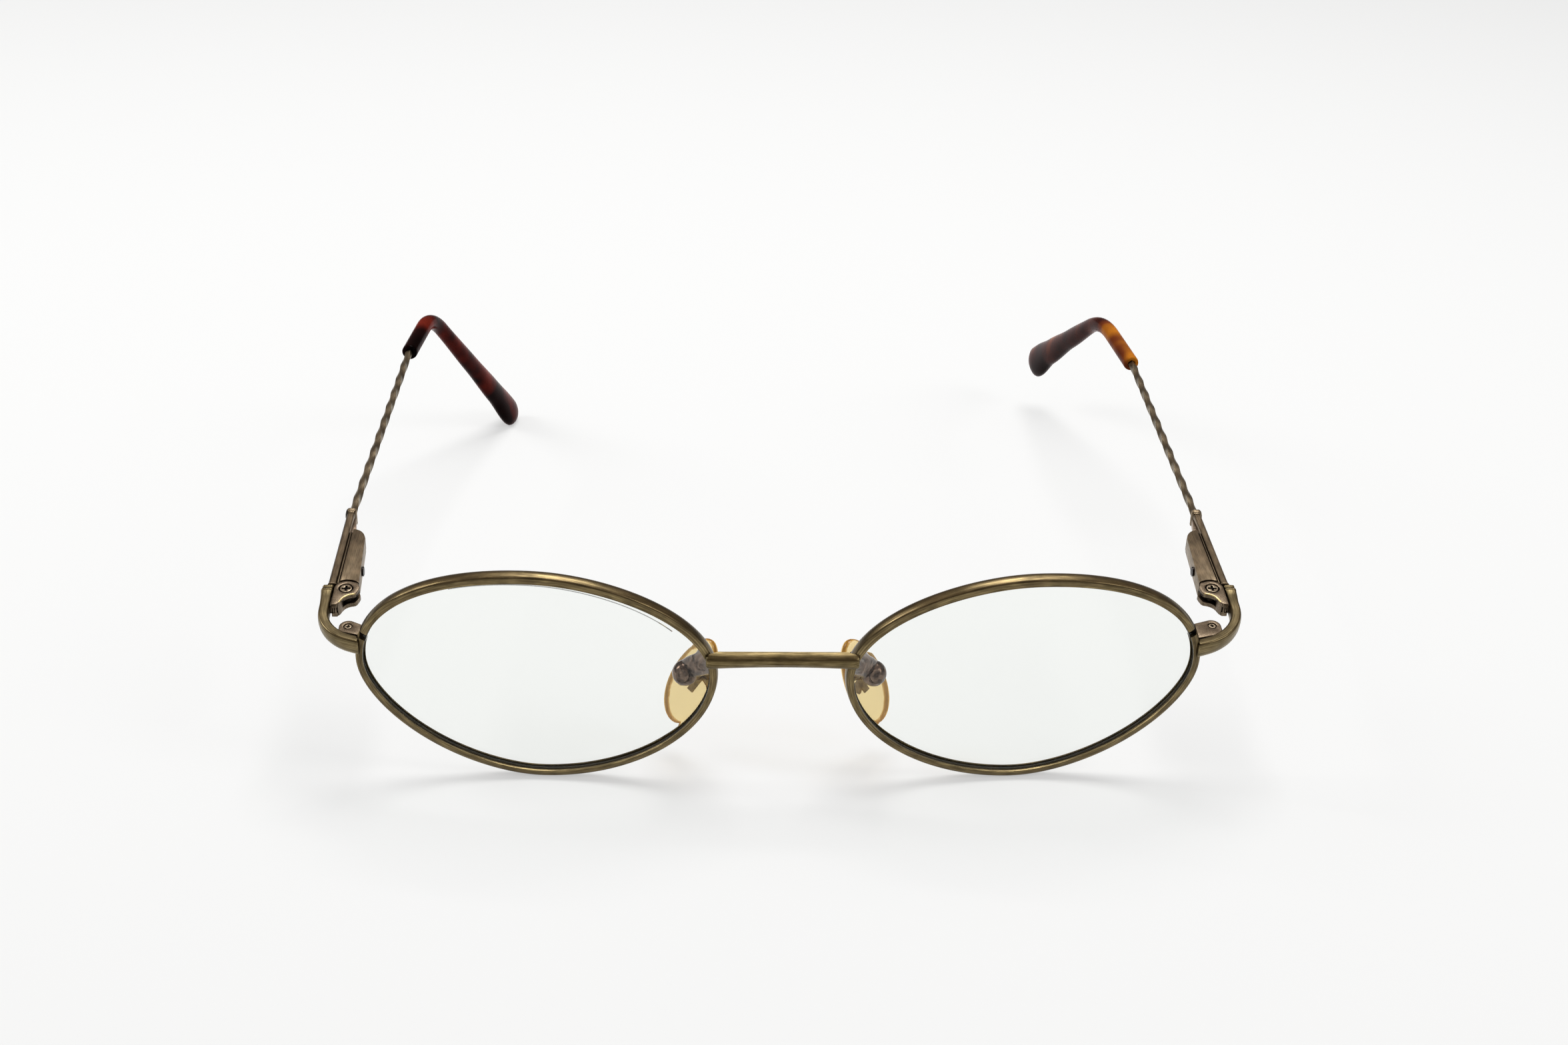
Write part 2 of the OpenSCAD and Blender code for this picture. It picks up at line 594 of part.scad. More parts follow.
// Housing: tapered inwards to the back, with a rounded back end
housing_out = 1.1;
housing_in_front = 1.65;
housing_in_back = 1;
housing_straight = housing_length - 3.3;
front_cut = leaf_reach + 0.1;
housing_start = 1.3;
foot_out = bar_offset - bar_width / 2;
foot_length = housing_length - housing_start - 0.4;
ridge_in = 1.28;
ridge_out = 1.45;
groove_sink = 0.4;
bore_radius = guide_radius + 0.03;
bore_end = stop_start + stop_length + 1.2;
slot_half = 0.72;
function inner_wall(t) = housing_in_front
    + (housing_in_back - housing_in_front) * (t - housing_start) / (housing_straight - housing_start);
module spring_housing(k) {
    h = housing_height / 2;
    curve = [for (a = [0:15:90]) [housing_out - (housing_out + housing_in_back) * cos(a),
        housing_straight + (housing_length - housing_straight) * sin(a)]];
    color(brass) on_temple(k) difference() {
        union() {
            translate([0, 0, -h]) linear_extrude(2 * h)
                polygon(concat([[housing_out, housing_start], [-housing_in_front, housing_start]], curve));
            translate([housing_out - 0.1, housing_start + 0.1, groove_sink - h])
                cube([foot_out - housing_out + 0.1, foot_length, 2 * (h - groove_sink)]);
            translate([ridge_in, housing_start + 0.1, 0.1 - h])
                cube([ridge_out - ridge_in, foot_length, 2 * (h - 0.1)]);
        }
        pin_in_temple(k) translate([0, 0, -3]) cylinder(h = 6, r = front_cut, $fn = 64);
        translate([-slot_half, 0, -slot_half]) cube([2 * slot_half, guide_start, 2 * slot_half]);
        translate([0, guide_start - 0.05, 0]) rotate([-90, 0, 0])
            cylinder(h = bore_end - guide_start, r = bore_radius, $fn = 48);
        translate([-3, guide_screw_place, 0]) rotate([0, 90, 0])
            cylinder(h = 3, r = guide_screw_radius + 0.03, $fn = 32);
    }
}
module guide_screw(k) {
    seat = -inner_wall(guide_screw_place - guide_head_radius) - 0.02;
    color("#2e2a28") on_temple(k) translate([0, guide_screw_place, 0]) rotate([0, 90, 0]) difference() {
        union() {
            translate([0, 0, seat])
                cylinder(h = -seat - guide_screw_tip - 0.05, r = guide_screw_radius, $fn = 32);
            translate([0, 0, seat - guide_head_height])
                cylinder(h = guide_head_height, r = guide_head_radius, $fn = 32);
        }
        translate([-guide_head_radius, -0.1, seat - guide_head_height - 0.1])
            cube([2 * guide_head_radius, 0.2, 0.22]);
    }
}

// Bar between two collars, rounded on its outer side
bar_section = [[-0.5, -0.42], [-0.42, -0.5], [0.06, -0.5], [0.34, -0.34], [0.5, -0.12],
    [0.5, 0.12], [0.34, 0.34], [0.06, 0.5], [-0.42, 0.5], [-0.5, 0.42]];
collar_length = 1.3;
module bar_ring(length, swell) {
    translate([0, length, 0]) rotate([90, 0, 0]) linear_extrude(length)
        polygon([for (q = bar_section) [q.x * bar_width * swell, q.y * bar_height * swell]]);
}
tongue_length = 5;
module temple_bar(k) {
    collar = bar_length - collar_length / 2;
    color(brass) on_temple(k) union() {
        translate([bar_offset, seam_back, 0]) bar_ring(bar_length - seam_back, 1);
        translate([bar_offset + bar_width * 0.05, seam_back, 0]) bar_ring(0.28, 1.1);
        for (g = [[0, 1.12], [0.2, 1.26], [0.42, 1.34]])
            translate([bar_offset, collar + g[0] * collar_length, 0])
                bar_ring(collar_length * (1 - 2 * g[0]), g[1]);
        translate([0, 0, -0.9]) linear_extrude(1.1) polygon([[foot_out + 0.1, housing_length + 0.1],
            [foot_out - 0.85, housing_length + 0.1], [foot_out - 0.2, housing_length + tongue_length],
            [foot_out + 0.1, housing_length + tongue_length]]);
    }
}

// Twisted square wire that runs on as a round core inside the sleeve
wire_sides = 8;
wire_start = collar_length / 2;
function wire_ring(st, side, twist, flat, corner) =
    let (n = unit(side - st[1] * (side * st[1])), v = cross(n, st[1]))
    [for (j = [0:wire_sides - 1]) let (a = twist - 360 * j / wire_sides, r = (j % 2 == 0 ? flat : corner) / 2)
        st[0] + v * r * cos(a) + n * r * sin(a)];
module temple_wire(k) {
    s = temple_stations(k, drops[k]);
    side = bend_side(k, drops[k]);
    free = concat([for (st = s[0]) if (st[2] > wire_start) st], [s[1][1], s[1][2]]);
    mouth = s[2][0];
    join = [for (d = [-0.35, 0.2]) [mouth[0] + mouth[1] * d, mouth[1], mouth[2] + d]];
    inside = concat([for (i = [1:3]) s[2][i]], [for (i = [1:6]) s[3][i]], [for (i = [1:5]) s[4][i]]);
    first = [bar_end(k) + s[0][0][1] * wire_start, s[0][0][1], wire_start];
    core = 2 * core_radius;
    turn = 360 / twist_pitch;
    color(brass) placed(k) skin(concat(
        [for (st = concat([first], free)) wire_ring(st, side, st[2] * turn, wire_flat, wire_corner)],
        [for (st = concat(join, inside)) wire_ring(st, side, mouth[2] * turn, core, core)]));
}

// Sleeve over the core, closed at its end
module temple_tip(k) {
    s = temple_stations(k, drops[k]);
    side = bend_side(k, drops[k]);
    bore = 2 * (core_radius + core_fit) / cos(180 / sleeve_sides);
    inside = concat([for (i = [0:3]) s[2][i]], [for (i = [1:6]) s[3][i]], [for (i = [1:6]) s[4][i]]);
    inner = [for (st = inside) ring_at(st, side, bore, bore)];
    color(tortoise) placed(k)
        skin(concat([for (i = [len(inner) - 1:-1:0]) inner[i]], sleeve_outer(k, drops[k])));
}

// Nose pads: a ball-shaped box on an arm, a pinned mount and the pad

// Pad frame: origin at the box, x across the pad, y towards the nose, z along the pad
module on_pad(k) {
    on_face(k) translate([box_side, box_depth, -box_drop])
        rotate([0, -pad_flare, 0]) rotate([0, 0, pad_splay]) children();
}
arm_root_radius = 0.75;
arm_neck_radius = 1.25;
pin_radius = 0.4;
pin_fit = 0.03;
pin_half = 1.85;
tongue_thickness = 0.7;
tongue_gap = 0.1;
mount_face = box_radius + 0.15;
plate_thickness = 0.3;
plate_place = [-1.2, -0.7];
module pad_arm(k) {
    seat = nose_side(1.4) + [-0.1, rim_depth / 2 + 0.1, 0];
    ball = [box_side, box_depth, -box_drop];
    color(gunmetal) difference() {
        on_face(k) union() {
            rod(seat, ball, arm_root_radius, arm_neck_radius);
            translate(ball) rotate([0, 0, 30]) sphere(r = box_radius, $fn = 96);
        }
        on_pad(k) {
            translate([-box_radius, -0.75, -tongue_thickness / 2 - tongue_gap])
                cube([2 * box_radius, box_radius + 2, tongue_thickness + 2 * tongue_gap]);
            translate([0, 0, -box_radius - 1])
                cylinder(h = 2 * box_radius + 2, r = pin_radius + 0.01, $fn = 32);
        }
    }
}
module pad_pin(k) {
    color(steel) on_pad(k) difference() {
        translate([0, 0, -pin_half]) cylinder(h = 2 * pin_half, r = pin_radius, $fn = 32);
        translate([-0.5, -0.08, pin_half - 0.15]) cube([1, 0.16, 0.3]);
    }
}
module pad_mount(k) {
    color(gunmetal) on_pad(k) difference() {
        union() {
            translate([0, 0, -tongue_thickness / 2]) linear_extrude(tongue_thickness) {
                circle(r = 0.7, $fn = 32);
                translate([-0.55, 0]) square([1.1, mount_face + 0.1]);
            }
            translate([0, mount_face + plate_thickness, 0])
                rotate([90, 0, 0]) linear_extrude(plate_thickness)
                translate(plate_place) polygon([[0, -3.2], [2.1, 0], [0, 3.2], [-2.1, 0]]);
        }
        translate([0, 0, -1]) cylinder(h = 2, r = pin_radius + pin_fit + 0.03, $fn = 32);
    }
}
pad_face = mount_face + plate_thickness;
pad_sides = 24;
module nose_pad(k) {
    // Size and depth of the pad's rings, front face first
    rings = [[0.55, 0, 0], [0.86, 0, 0], [0.95, 0.07, 0], [1, 0.32, 0], [0.985, 0.62, 0], [0.9, 0.86, 0],
        [0.7, 0.97, 0], [0.35, 1, 0]];
    color(pad_clear) on_pad(k) translate([pad_back, pad_face, -pad_hang])
        skin([for (q = rings) [for (j = [0:pad_sides - 1])
            let (a = 360 * j / pad_sides, w = pad_width / 2 * (1 - 0.12 * sin(a)))
            [w * q[0] * cos(a), pad_thickness * q[1], pad_length / 2 * q[0] * sin(a)]]]);
}

bridge();
rim(LEFT);  // left_rim
rim(RIGHT);  // right_rim
lens(LEFT);  // left_lens
lens(RIGHT);  // right_lens
end_piece(LEFT);  // left_end_piece
end_piece(RIGHT);  // right_end_piece
rim_lock_upper(LEFT);  // left_rim_lock_upper
rim_lock_upper(RIGHT);  // right_rim_lock_upper
rim_lock_lower(LEFT);  // left_rim_lock_lower
rim_lock_lower(RIGHT);  // right_rim_lock_lower
rim_screw(LEFT);  // left_rim_screw
rim_screw(RIGHT);  // right_rim_screw
hinge_fork(LEFT);  // left_hinge_fork
hinge_fork(RIGHT);  // right_hinge_fork
hinge_screw(LEFT);  // left_hinge_screw
hinge_screw(RIGHT);  // right_hinge_screw
spring_slider(LEFT);  // left_spring_slider
spring_slider(RIGHT);  // right_spring_slider
spring(LEFT);  // left_spring
spring(RIGHT);  // right_spring
spring_guide(LEFT);  // left_spring_guide
spring_guide(RIGHT);  // right_spring_guide
guide_screw(LEFT);  // left_guide_screw
guide_screw(RIGHT);  // right_guide_screw
spring_housing(LEFT);  // left_spring_housing
spring_housing(RIGHT);  // right_spring_housing
temple_bar(LEFT);  // left_temple_bar
temple_bar(RIGHT);  // right_temple_bar
temple_wire(LEFT);  // left_temple_wire
temple_wire(RIGHT);  // right_temple_wire
temple_tip(LEFT);  // left_temple_tip
temple_tip(RIGHT);  // right_temple_tip
pad_arm(LEFT);  // left_pad_arm
pad_arm(RIGHT);  // right_pad_arm
pad_pin(LEFT);  // left_pad_pin
pad_pin(RIGHT);  // right_pad_pin
pad_mount(LEFT);  // left_pad_mount
pad_mount(RIGHT);  // right_pad_mount
nose_pad(LEFT);  // left_nose_pad
nose_pad(RIGHT);  // right_nose_pad
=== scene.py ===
from itertools import product
from math import acos, atan2, copysign, cos, pi, radians, sin, tan

import bmesh
import bpy
from bmesh.types import BMFace, BMVert
from mathutils import Matrix, Vector


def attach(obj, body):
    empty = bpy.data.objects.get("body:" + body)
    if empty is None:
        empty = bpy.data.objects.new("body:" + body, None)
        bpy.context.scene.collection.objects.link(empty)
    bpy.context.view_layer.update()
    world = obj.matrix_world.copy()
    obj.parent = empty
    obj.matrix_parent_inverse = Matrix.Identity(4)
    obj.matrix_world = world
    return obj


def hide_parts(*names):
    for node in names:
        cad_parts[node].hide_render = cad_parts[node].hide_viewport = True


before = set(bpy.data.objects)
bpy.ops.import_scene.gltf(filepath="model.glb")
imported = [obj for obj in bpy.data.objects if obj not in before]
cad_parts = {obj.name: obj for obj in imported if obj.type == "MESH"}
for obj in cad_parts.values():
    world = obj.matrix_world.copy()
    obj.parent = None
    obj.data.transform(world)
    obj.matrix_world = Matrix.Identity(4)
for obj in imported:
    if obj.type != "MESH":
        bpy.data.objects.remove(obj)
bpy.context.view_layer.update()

# Oval eyeglasses with spring hinges. Sizes are in millimetres and turn to metres when a piece is placed.
# Left is the viewer's left (-X). Each piece is built for the right side, and mirrored for the left.
mm = 0.001
left, right = 0, 1
sideNames = ["left", "right"]

stance = {
    "lean": radians(10),  # top of the front towards the viewer
    "height": 18.7145,  # widest line of the lenses above the table
    "middle": 71.4418,  # from the lens plane back to the origin
    "sideMiddle": 0.6,  # from the middle of the bridge aside to the origin
    "endReach": [65, 66.2],  # from the middle of the bridge to the left and the right end piece
    "hingeDepth": [14.8, 15.8],  # of the hinge screws behind the lens plane
    "endLevel": 3.4,  # of end pieces and hinges above the widest line
    "hingeInset": 2.65,  # from an end piece in to its hinge screw
}


def standing(p):
    c, s = cos(stance["lean"]), sin(stance["lean"])
    return Vector((p[0], p[1] * c - p[2] * s, stance["height"] + p[1] * s + p[2] * c))


def pinLocal(side):
    across = stance["endReach"][side] - stance["hingeInset"]
    return Vector((across, stance["hingeDepth"][side], stance["endLevel"]))


def sidePlace(side):
    flip = Matrix.Scale(-1, 4, (1, 0, 0)) if side == left else Matrix()
    return Matrix.Translation((-stance["sideMiddle"], -stance["middle"], 0)) @ flip


def frontPlace(side):
    raised = Matrix.Translation((0, 0, stance["height"]))
    return sidePlace(side) @ raised @ Matrix.Rotation(stance["lean"], 4, "X")


def pinPlace(side):
    return frontPlace(side) @ Matrix.Translation(pinLocal(side))


# Meshes

def only(geom, kind):
    return [g for g in geom if isinstance(g, kind)]


def middleOf(g):
    corners = [g] if isinstance(g, BMVert) else g.verts
    return sum((v.co for v in corners), Vector()) / len(corners)


def nextRing(bm, ring):
    # pulls a new ring of edges out of a ring, with its points in the same order; gives the faces between too
    edges = [bm.edges.get((ring[j], ring[j - 1])) for j in range(len(ring))]
    made = bmesh.ops.extrude_edge_only(bm, edges=edges)["geom"]
    verts = set(only(made, BMVert))
    pulled = [next(e.other_vert(v) for e in v.link_edges if e.other_vert(v) in verts) for v in ring]
    return pulled, only(made, BMFace)


def closeRing(bm, ring):
    bmesh.ops.edgeloop_fill(bm, edges=[bm.edges.get((ring[j], ring[j - 1])) for j in range(len(ring))])


def straightLayer(bm):
    # where a point would lie if the piece were straight, for patterns that follow it
    layers = bm.verts.layers.float_vector
    return layers.get("straight") or layers.new("straight")


def sweep(bm, stations, section):
    # a station is (origin, across, up, run), and section(i) gives its points as (across, up)
    straight = straightLayer(bm)
    ring = bmesh.ops.create_circle(bm, segments=len(section(0)), radius=1)["verts"]
    first = list(ring)
    for i, (origin, across, up, run) in enumerate(stations):
        if i:
            ring, _ = nextRing(bm, ring)
        for v, (x, y) in zip(ring, section(i)):
            v.co = origin + across * x + up * y
            v[straight] = (run, x, y)
    closeRing(bm, first)
    closeRing(bm, ring)


def prism(bm, outline, low, high, bevel=0.0, segments=2, finish=0):
    # flat outline in x and y, drawn up from low to high, with its sharp edges bevelled
    before = set(bm.faces)
    verts = [bm.verts.new((x, y, low)) for x, y in outline]
    base = bm.faces.new(verts)
    top = bmesh.ops.extrude_face_region(bm, geom=[base])["geom"]
    topVerts = only(top, BMVert)
    bmesh.ops.translate(bm, verts=topVerts, vec=(0, 0, high - low))
    faces = {f for v in verts + topVerts for f in v.link_faces}
    bmesh.ops.recalc_face_normals(bm, faces=list(faces))
    if bevel:
        edges = {e for f in faces for e in f.edges if e.calc_face_angle(0) > radians(35)}
        bmesh.ops.bevel(bm, geom=list(edges), offset=bevel, offset_type="OFFSET", segments=segments,
                        profile=0.5, affect="EDGES", material=-1, clamp_overlap=True)
    for face in set(bm.faces) - before:
        face.material_index = finish


def rectangle(x, y):
    return [(x[0], y[0]), (x[1], y[0]), (x[1], y[1]), (x[0], y[1])]


def aroundTurn(count):
    return [2 * pi * i / count for i in range(count)]


def circle(centre, radius, count=48):
    return [(centre[0] + radius * cos(a), centre[1] + radius * sin(a)) for a in aroundTurn(count)]


def rounded(points, rounds=2):
    # cuts the corners of an open line, and keeps its two ends
    for _ in range(rounds):
        cut = [points[0]]
        for a, b in zip(points, points[1:]):
            cut += [(a[0] + (b[0] - a[0]) * k, a[1] + (b[1] - a[1]) * k) for k in (0.25, 0.75)]
        points = cut + [points[-1]]
    return points


def holedPlate(bm, shape, hole, low, high, bevel):
    # plate with a hole; its top edges are bevelled, and the outer ones take the second finish: rubbed wear,
    # and on the fork a painted highlight
    inner = [bm.verts.new((x, y, low)) for x, y in hole]
    outer = [bm.verts.new((x, y, low)) for x, y in shape]
    edges = [bm.edges.new((loop[j - 1], loop[j])) for loop in (inner, outer) for j in range(len(loop))]
    made = bmesh.ops.triangle_fill(bm, edges=edges, use_beauty=True)["geom"]
    top = bmesh.ops.extrude_face_region(bm, geom=only(made, BMFace))["geom"]
    topVerts = set(only(top, BMVert))
    bmesh.ops.translate(bm, verts=list(topVerts), vec=(0, 0, high - low))
    border = [e for e in bm.edges if set(e.verts) <= topVerts and e.calc_face_angle(0) > 1]
    wornAndHighlit = bmesh.ops.bevel(bm, geom=border, offset=bevel, segments=3, profile=0.5, affect="EDGES",
                           material=-1, clamp_overlap=True)["faces"]
    centre = sum((Vector(p) for p in hole), Vector((0, 0))) / len(hole)
    reach = max((Vector(p) - centre).length for p in hole)
    for face in wornAndHighlit:
        middle = face.calc_center_median()
        face.material_index = 1 if (middle.xy - centre).length > reach + 0.15 else 0


def crossHead(bm, centre, radius, arm, low, high):
    # screw head with a cross recess; its walls and floor take the second finish, black as painted shade
    w, r = arm
    quarter = [(r, w), (w, w), (w, r)]
    cross = []
    for _ in range(4):
        cross += [(centre[0] + x, centre[1] + y) for x, y in quarter]
        quarter = [(-y, x) for x, y in quarter]
    holedPlate(bm, circle(centre, radius), cross, low, high, 0.03)
    prism(bm, circle(centre, radius - 0.05, 32), low - 0.05, low + 0.03)
    middle = Vector(centre)
    for face in bm.faces:
        spot = face.calc_center_median()
        if low - 0.06 < spot.z < high + 0.01 and (spot.xy - middle).length < radius + 0.01:
            face.material_index = 1 if abs(face.normal.z) < 0.4 or spot.z < low + 0.04 else 0


def addPiece(name, bm, place, finishes, body, nodes, sharp=38):
    bmesh.ops.transform(bm, matrix=place, verts=bm.verts)
    bmesh.ops.recalc_face_normals(bm, faces=bm.faces)
    for face in bm.faces:
        face.smooth = True
    for edge in bm.edges:
        edge.smooth = edge.calc_face_angle(0) < radians(sharp)
    bmesh.ops.scale(bm, vec=(mm, mm, mm), verts=bm.verts)
    mesh = bpy.data.meshes.new(name)
    bm.to_mesh(mesh)
    bm.free()
    piece = bpy.data.objects.new(name, mesh)
    for material in finishes:
        mesh.materials.append(material)
    bpy.context.scene.collection.objects.link(piece)
    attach(piece, body)
    if nodes:
        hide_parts(*nodes)


def dressNode(node, material):
    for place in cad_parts[node].material_slots:
        place.material = material


# Materials

def linear(code):
    parts = [int(code[i:i + 2], 16) / 255 for i in (1, 3, 5)]
    return [c / 12.92 if c <= 0.04045 else ((c + 0.055) / 1.055) ** 2.4 for c in parts] + [1]


def addNode(tree, kind, inputs=None, **settings):
    made = tree.nodes.new("ShaderNode" + kind)
    for key, value in settings.items():
        setattr(made, key, value)
    for key, value in (inputs or {}).items():
        if isinstance(value, bpy.types.NodeSocket):
            tree.links.new(value, made.inputs[key])
        else:
            made.inputs[key].default_value = value
    return made


def addRamp(tree, factor, stops):
    ramp = addNode(tree, "ValToRGB", {"Fac": factor})
    while len(ramp.color_ramp.elements) < len(stops):
        ramp.color_ramp.elements.new(1)
    for element, (place, code) in zip(ramp.color_ramp.elements, stops):
        element.position = place
        element.color = linear(code) if isinstance(code, str) else (code, code, code, 1)
    return ramp.outputs["Color"]


def newMaterial(name):
    material = bpy.data.materials.new(name)
    material.use_nodes = True
    tree = material.node_tree
    tree.nodes.clear()
    return material, tree


def finishMaterial(tree, shader):
    addNode(tree, "OutputMaterial", {"Surface": shader})


def patinaAndPaintedShade(tree, reach, low, high, dark):
    # 1 where a face lies open, and down to dark in hollows and beside other parts: brown patina and painted
    # shade; reach in mm
    seen = addNode(tree, "AmbientOcclusion", {"Distance": reach * mm}, samples=8).outputs["AO"]
    return addNode(tree, "MapRange", {"Value": seen, "From Min": low, "From Max": high,
                                      "To Min": dark, "To Max": 1}).outputs["Result"]


# Antique brass: brass plated over the alloy, browned, then brushed and lacquered. The brush leaves fine
# lengthwise streaks that catch the light. The brown stays in the hollows, which are darkened more as painted
# shade.
brassLook = {
    "streakLength": 4,  # mm
    "streakWidth": 0.1,  # mm, coarser than the real brush marks so that they show
    "patch": 2.4,  # mm, browned and rubbed areas
    "grain": (6000, 8000),  # waves to the metre along and across, where a piece has no length to follow
    "hollow": 0.7,  # mm, how far the brown patina and the painted shade reach out of a hollow
    "relief": 0.02,  # mm, depth of the brush marks
}
alongPiece = {"attribute_name": "straight", "attribute_type": "GEOMETRY"}


def brushedMetal(name, stops, rough, straight=True, patchStops=(0.62, 1.22), bump=0.14, patinaShadeDark=0.25,
                 edge=None, topShade=1.0):
    material, tree = newMaterial(name)
    if straight:
        place = addNode(tree, "Attribute", **alongPiece).outputs["Vector"]
        along, across, spot = (1 / brassLook[size] for size in ("streakLength", "streakWidth", "patch"))
    else:
        place = addNode(tree, "TexCoord").outputs["Object"]
        (along, across), spot = brassLook["grain"], 1000 / brassLook["patch"]
    grain = addNode(tree, "Mapping", {"Vector": place, "Scale": (along, across, across)}).outputs["Vector"]
    streak = addNode(tree, "TexNoise", {"Vector": grain, "Scale": 1, "Detail": 3,
                                        "Roughness": 0.6}).outputs["Fac"]
    spots = addNode(tree, "Mapping", {"Vector": place, "Scale": (spot, spot * 3, spot * 3)}).outputs["Vector"]
    patch = addNode(tree, "TexNoise", {"Vector": spots, "Scale": 1, "Detail": 2,
                                       "Roughness": 0.5}).outputs["Fac"]
    colour = addRamp(tree, streak, [(0.2, stops[0]), (0.5, stops[1]), (0.8, stops[2])])
    shade = addNode(tree, "MapRange", {"Value": patch, "From Min": 0.3, "From Max": 0.7,
                                       "To Min": patchStops[0], "To Max": patchStops[1]}).outputs["Result"]
    # brown patina in the hollows, and painted shade where other parts lie close
    depth = patinaAndPaintedShade(tree, brassLook["hollow"], 0.25, 0.85, patinaShadeDark)
    toned = addNode(tree, "Math", {0: shade, 1: depth}, operation="MULTIPLY").outputs["Value"]
    if edge:  # painted shade along the outer edge, between two distances across
        across = addNode(tree, "SeparateXYZ", {"Vector": place}).outputs["Y"]
        paintedEdgeShade = addNode(tree, "MapRange", {"Value": across, "From Min": edge[0], "From Max": edge[1],
                                            "To Min": 1, "To Max": 0.12}).outputs["Result"]
        toned = addNode(tree, "Math", {0: toned, 1: paintedEdgeShade}, operation="MULTIPLY").outputs["Value"]
    if topShade < 1:  # painted shade: faces that look up are darkened
        normal = addNode(tree, "NewGeometry").outputs["Normal"]
        facing = addNode(tree, "SeparateXYZ", {"Vector": normal}).outputs["Z"]
        paintedTopShade = addNode(tree, "MapRange", {"Value": facing, "From Min": 0.75, "From Max": 0.95,
                                             "To Min": 1, "To Max": topShade}).outputs["Result"]
        toned = addNode(tree, "Math", {0: toned, 1: paintedTopShade}, operation="MULTIPLY").outputs["Value"]
    base = addNode(tree, "VectorMath", {0: colour, "Scale": toned}, operation="SCALE").outputs["Vector"]
    roughness = addNode(tree, "MapRange", {"Value": streak, "From Min": 0.3, "From Max": 0.7,
                                           "To Min": rough[1], "To Max": rough[0]}).outputs["Result"]
    relief = addNode(tree, "Bump", {"Height": streak, "Strength": bump,
                                    "Distance": brassLook["relief"] * mm}).outputs["Normal"]
    shader = addNode(tree, "BsdfPrincipled", {"Base Color": base, "Metallic": 1.0, "Roughness": roughness,
                                              "Normal": relief}).outputs["BSDF"]
    finishMaterial(tree, shader)
    return material


rimBrass = brushedMetal("antiqueBrassBrushed", ["#423521", "#6a5c42", "#a29064"], (0.24, 0.4), patinaShadeDark=0.6)
# its faces that look up are painted darker, as shade
endBrass = brushedMetal("antiqueBrassEndPiece", ["#4a3e28", "#76684b", "#a6966e"], (0.26, 0.42), topShade=0.62)
barStops = ["#59493a", "#83735c", "#ab9a80"]
barBrass = brushedMetal("antiqueBrassTemple", barStops, (0.28, 0.45))
# the left bar's copy, with painted shade along its outer edge
leftBarBrassShaded = brushedMetal("antiqueBrassTempleLeftShaded", barStops, (0.28, 0.45), edge=(0.3, 0.42))
bridgeBrass = brushedMetal("antiqueBrassBridge", ["#443820", "#6b5d3f", "#9c8b66"], (0.32, 0.48))
wireBrass = brushedMetal("antiqueBrassTwisted", ["#4b3f31", "#7d705b", "#aa9c80"], (0.3, 0.48))
# its hollows are painted nearly black, as shade
hingeBrass = brushedMetal("antiqueBrassDark", ["#4d4031", "#6f6150", "#968873"], (0.3, 0.42), straight=False,
                          patchStops=(0.8, 1.15), bump=0.06, patinaShadeDark=0.03)
# worn edges, painted paler still as a highlight
rubbedBrassHighlight = brushedMetal("antiqueBrassRubbedHighlight", ["#9a8557", "#c2ab78", "#e0cd9a"], (0.24, 0.38),
                           straight=False, patchStops=(0.75, 1.2), bump=0.06, patinaShadeDark=0.5)
tongueBrass = brushedMetal("solderedTongue", ["#8d7a68", "#b09c88", "#d2c0ac"], (0.35, 0.5), straight=False)


# Small cast and machined parts: nickel, brass and steel, darkened by the plating. The grain size is in mm.
def machinedMetal(name, dark, pale, roughness, grainSize, relief=0.1):
    material, tree = newMaterial(name)
    scale = 1000 / grainSize
    place = addNode(tree, "TexCoord").outputs["Object"]
    grain = addNode(tree, "TexNoise", {"Vector": place, "Scale": scale, "Detail": 4}).outputs["Fac"]
    colour = addRamp(tree, grain, [(0.3, dark), (0.7, pale)])
    # painted shade: the colour darkens in hollows and beside other parts
    depth = patinaAndPaintedShade(tree, 0.5, 0.2, 0.8, 0.3)
    base = addNode(tree, "VectorMath", {0: colour, "Scale": depth}, operation="SCALE").outputs["Vector"]
    waves = addNode(tree, "TexNoise", {"Vector": place, "Scale": scale, "Detail": 1}).outputs["Fac"]
    bumps = addNode(tree, "Bump", {"Height": waves, "Strength": 1.0,
                                   "Distance": relief * 0.1 * mm}).outputs["Normal"]
    finishMaterial(tree, addNode(tree, "BsdfPrincipled", {
        "Base Color": base, "Metallic": 1.0, "Roughness": roughness, "Normal": bumps}).outputs["BSDF"])
    return material


boxNickel = machinedMetal("darkNickelCast", "#2a201b", "#7d695b", 0.2, 0.7, relief=0.9)
plateBrass = machinedMetal("plateInVinyl", "#5f4c2e", "#957a4b", 0.4, 0.9)
# near black; it fills the window between the fork's leaves
sliderSteel = machinedMetal("sliderNearBlack", "#15110e", "#2c2520", 0.4, 0.8)
screwSteel = machinedMetal("screwBrassed", "#4d4436", "#85795f", 0.28, 0.6)
blackScrew = machinedMetal("screwBlackened", "#1d1a19", "#3b3634", 0.3, 0.6)
screwFace = machinedMetal("screwFaceNickel", "#6a5d4c", "#ab9c84", 0.28, 0.5)
# not a finish of the metal: black painted where there is only shade, in recesses, gaps and on shaded sides
paintedShadeBlack = machinedMetal("paintedRecessShade", "#0b0908", "#191513", 0.5, 0.5)
springSteel = machinedMetal("springSteelDrawn", "#8b8984", "#b7b4ad", 0.25, 0.4)


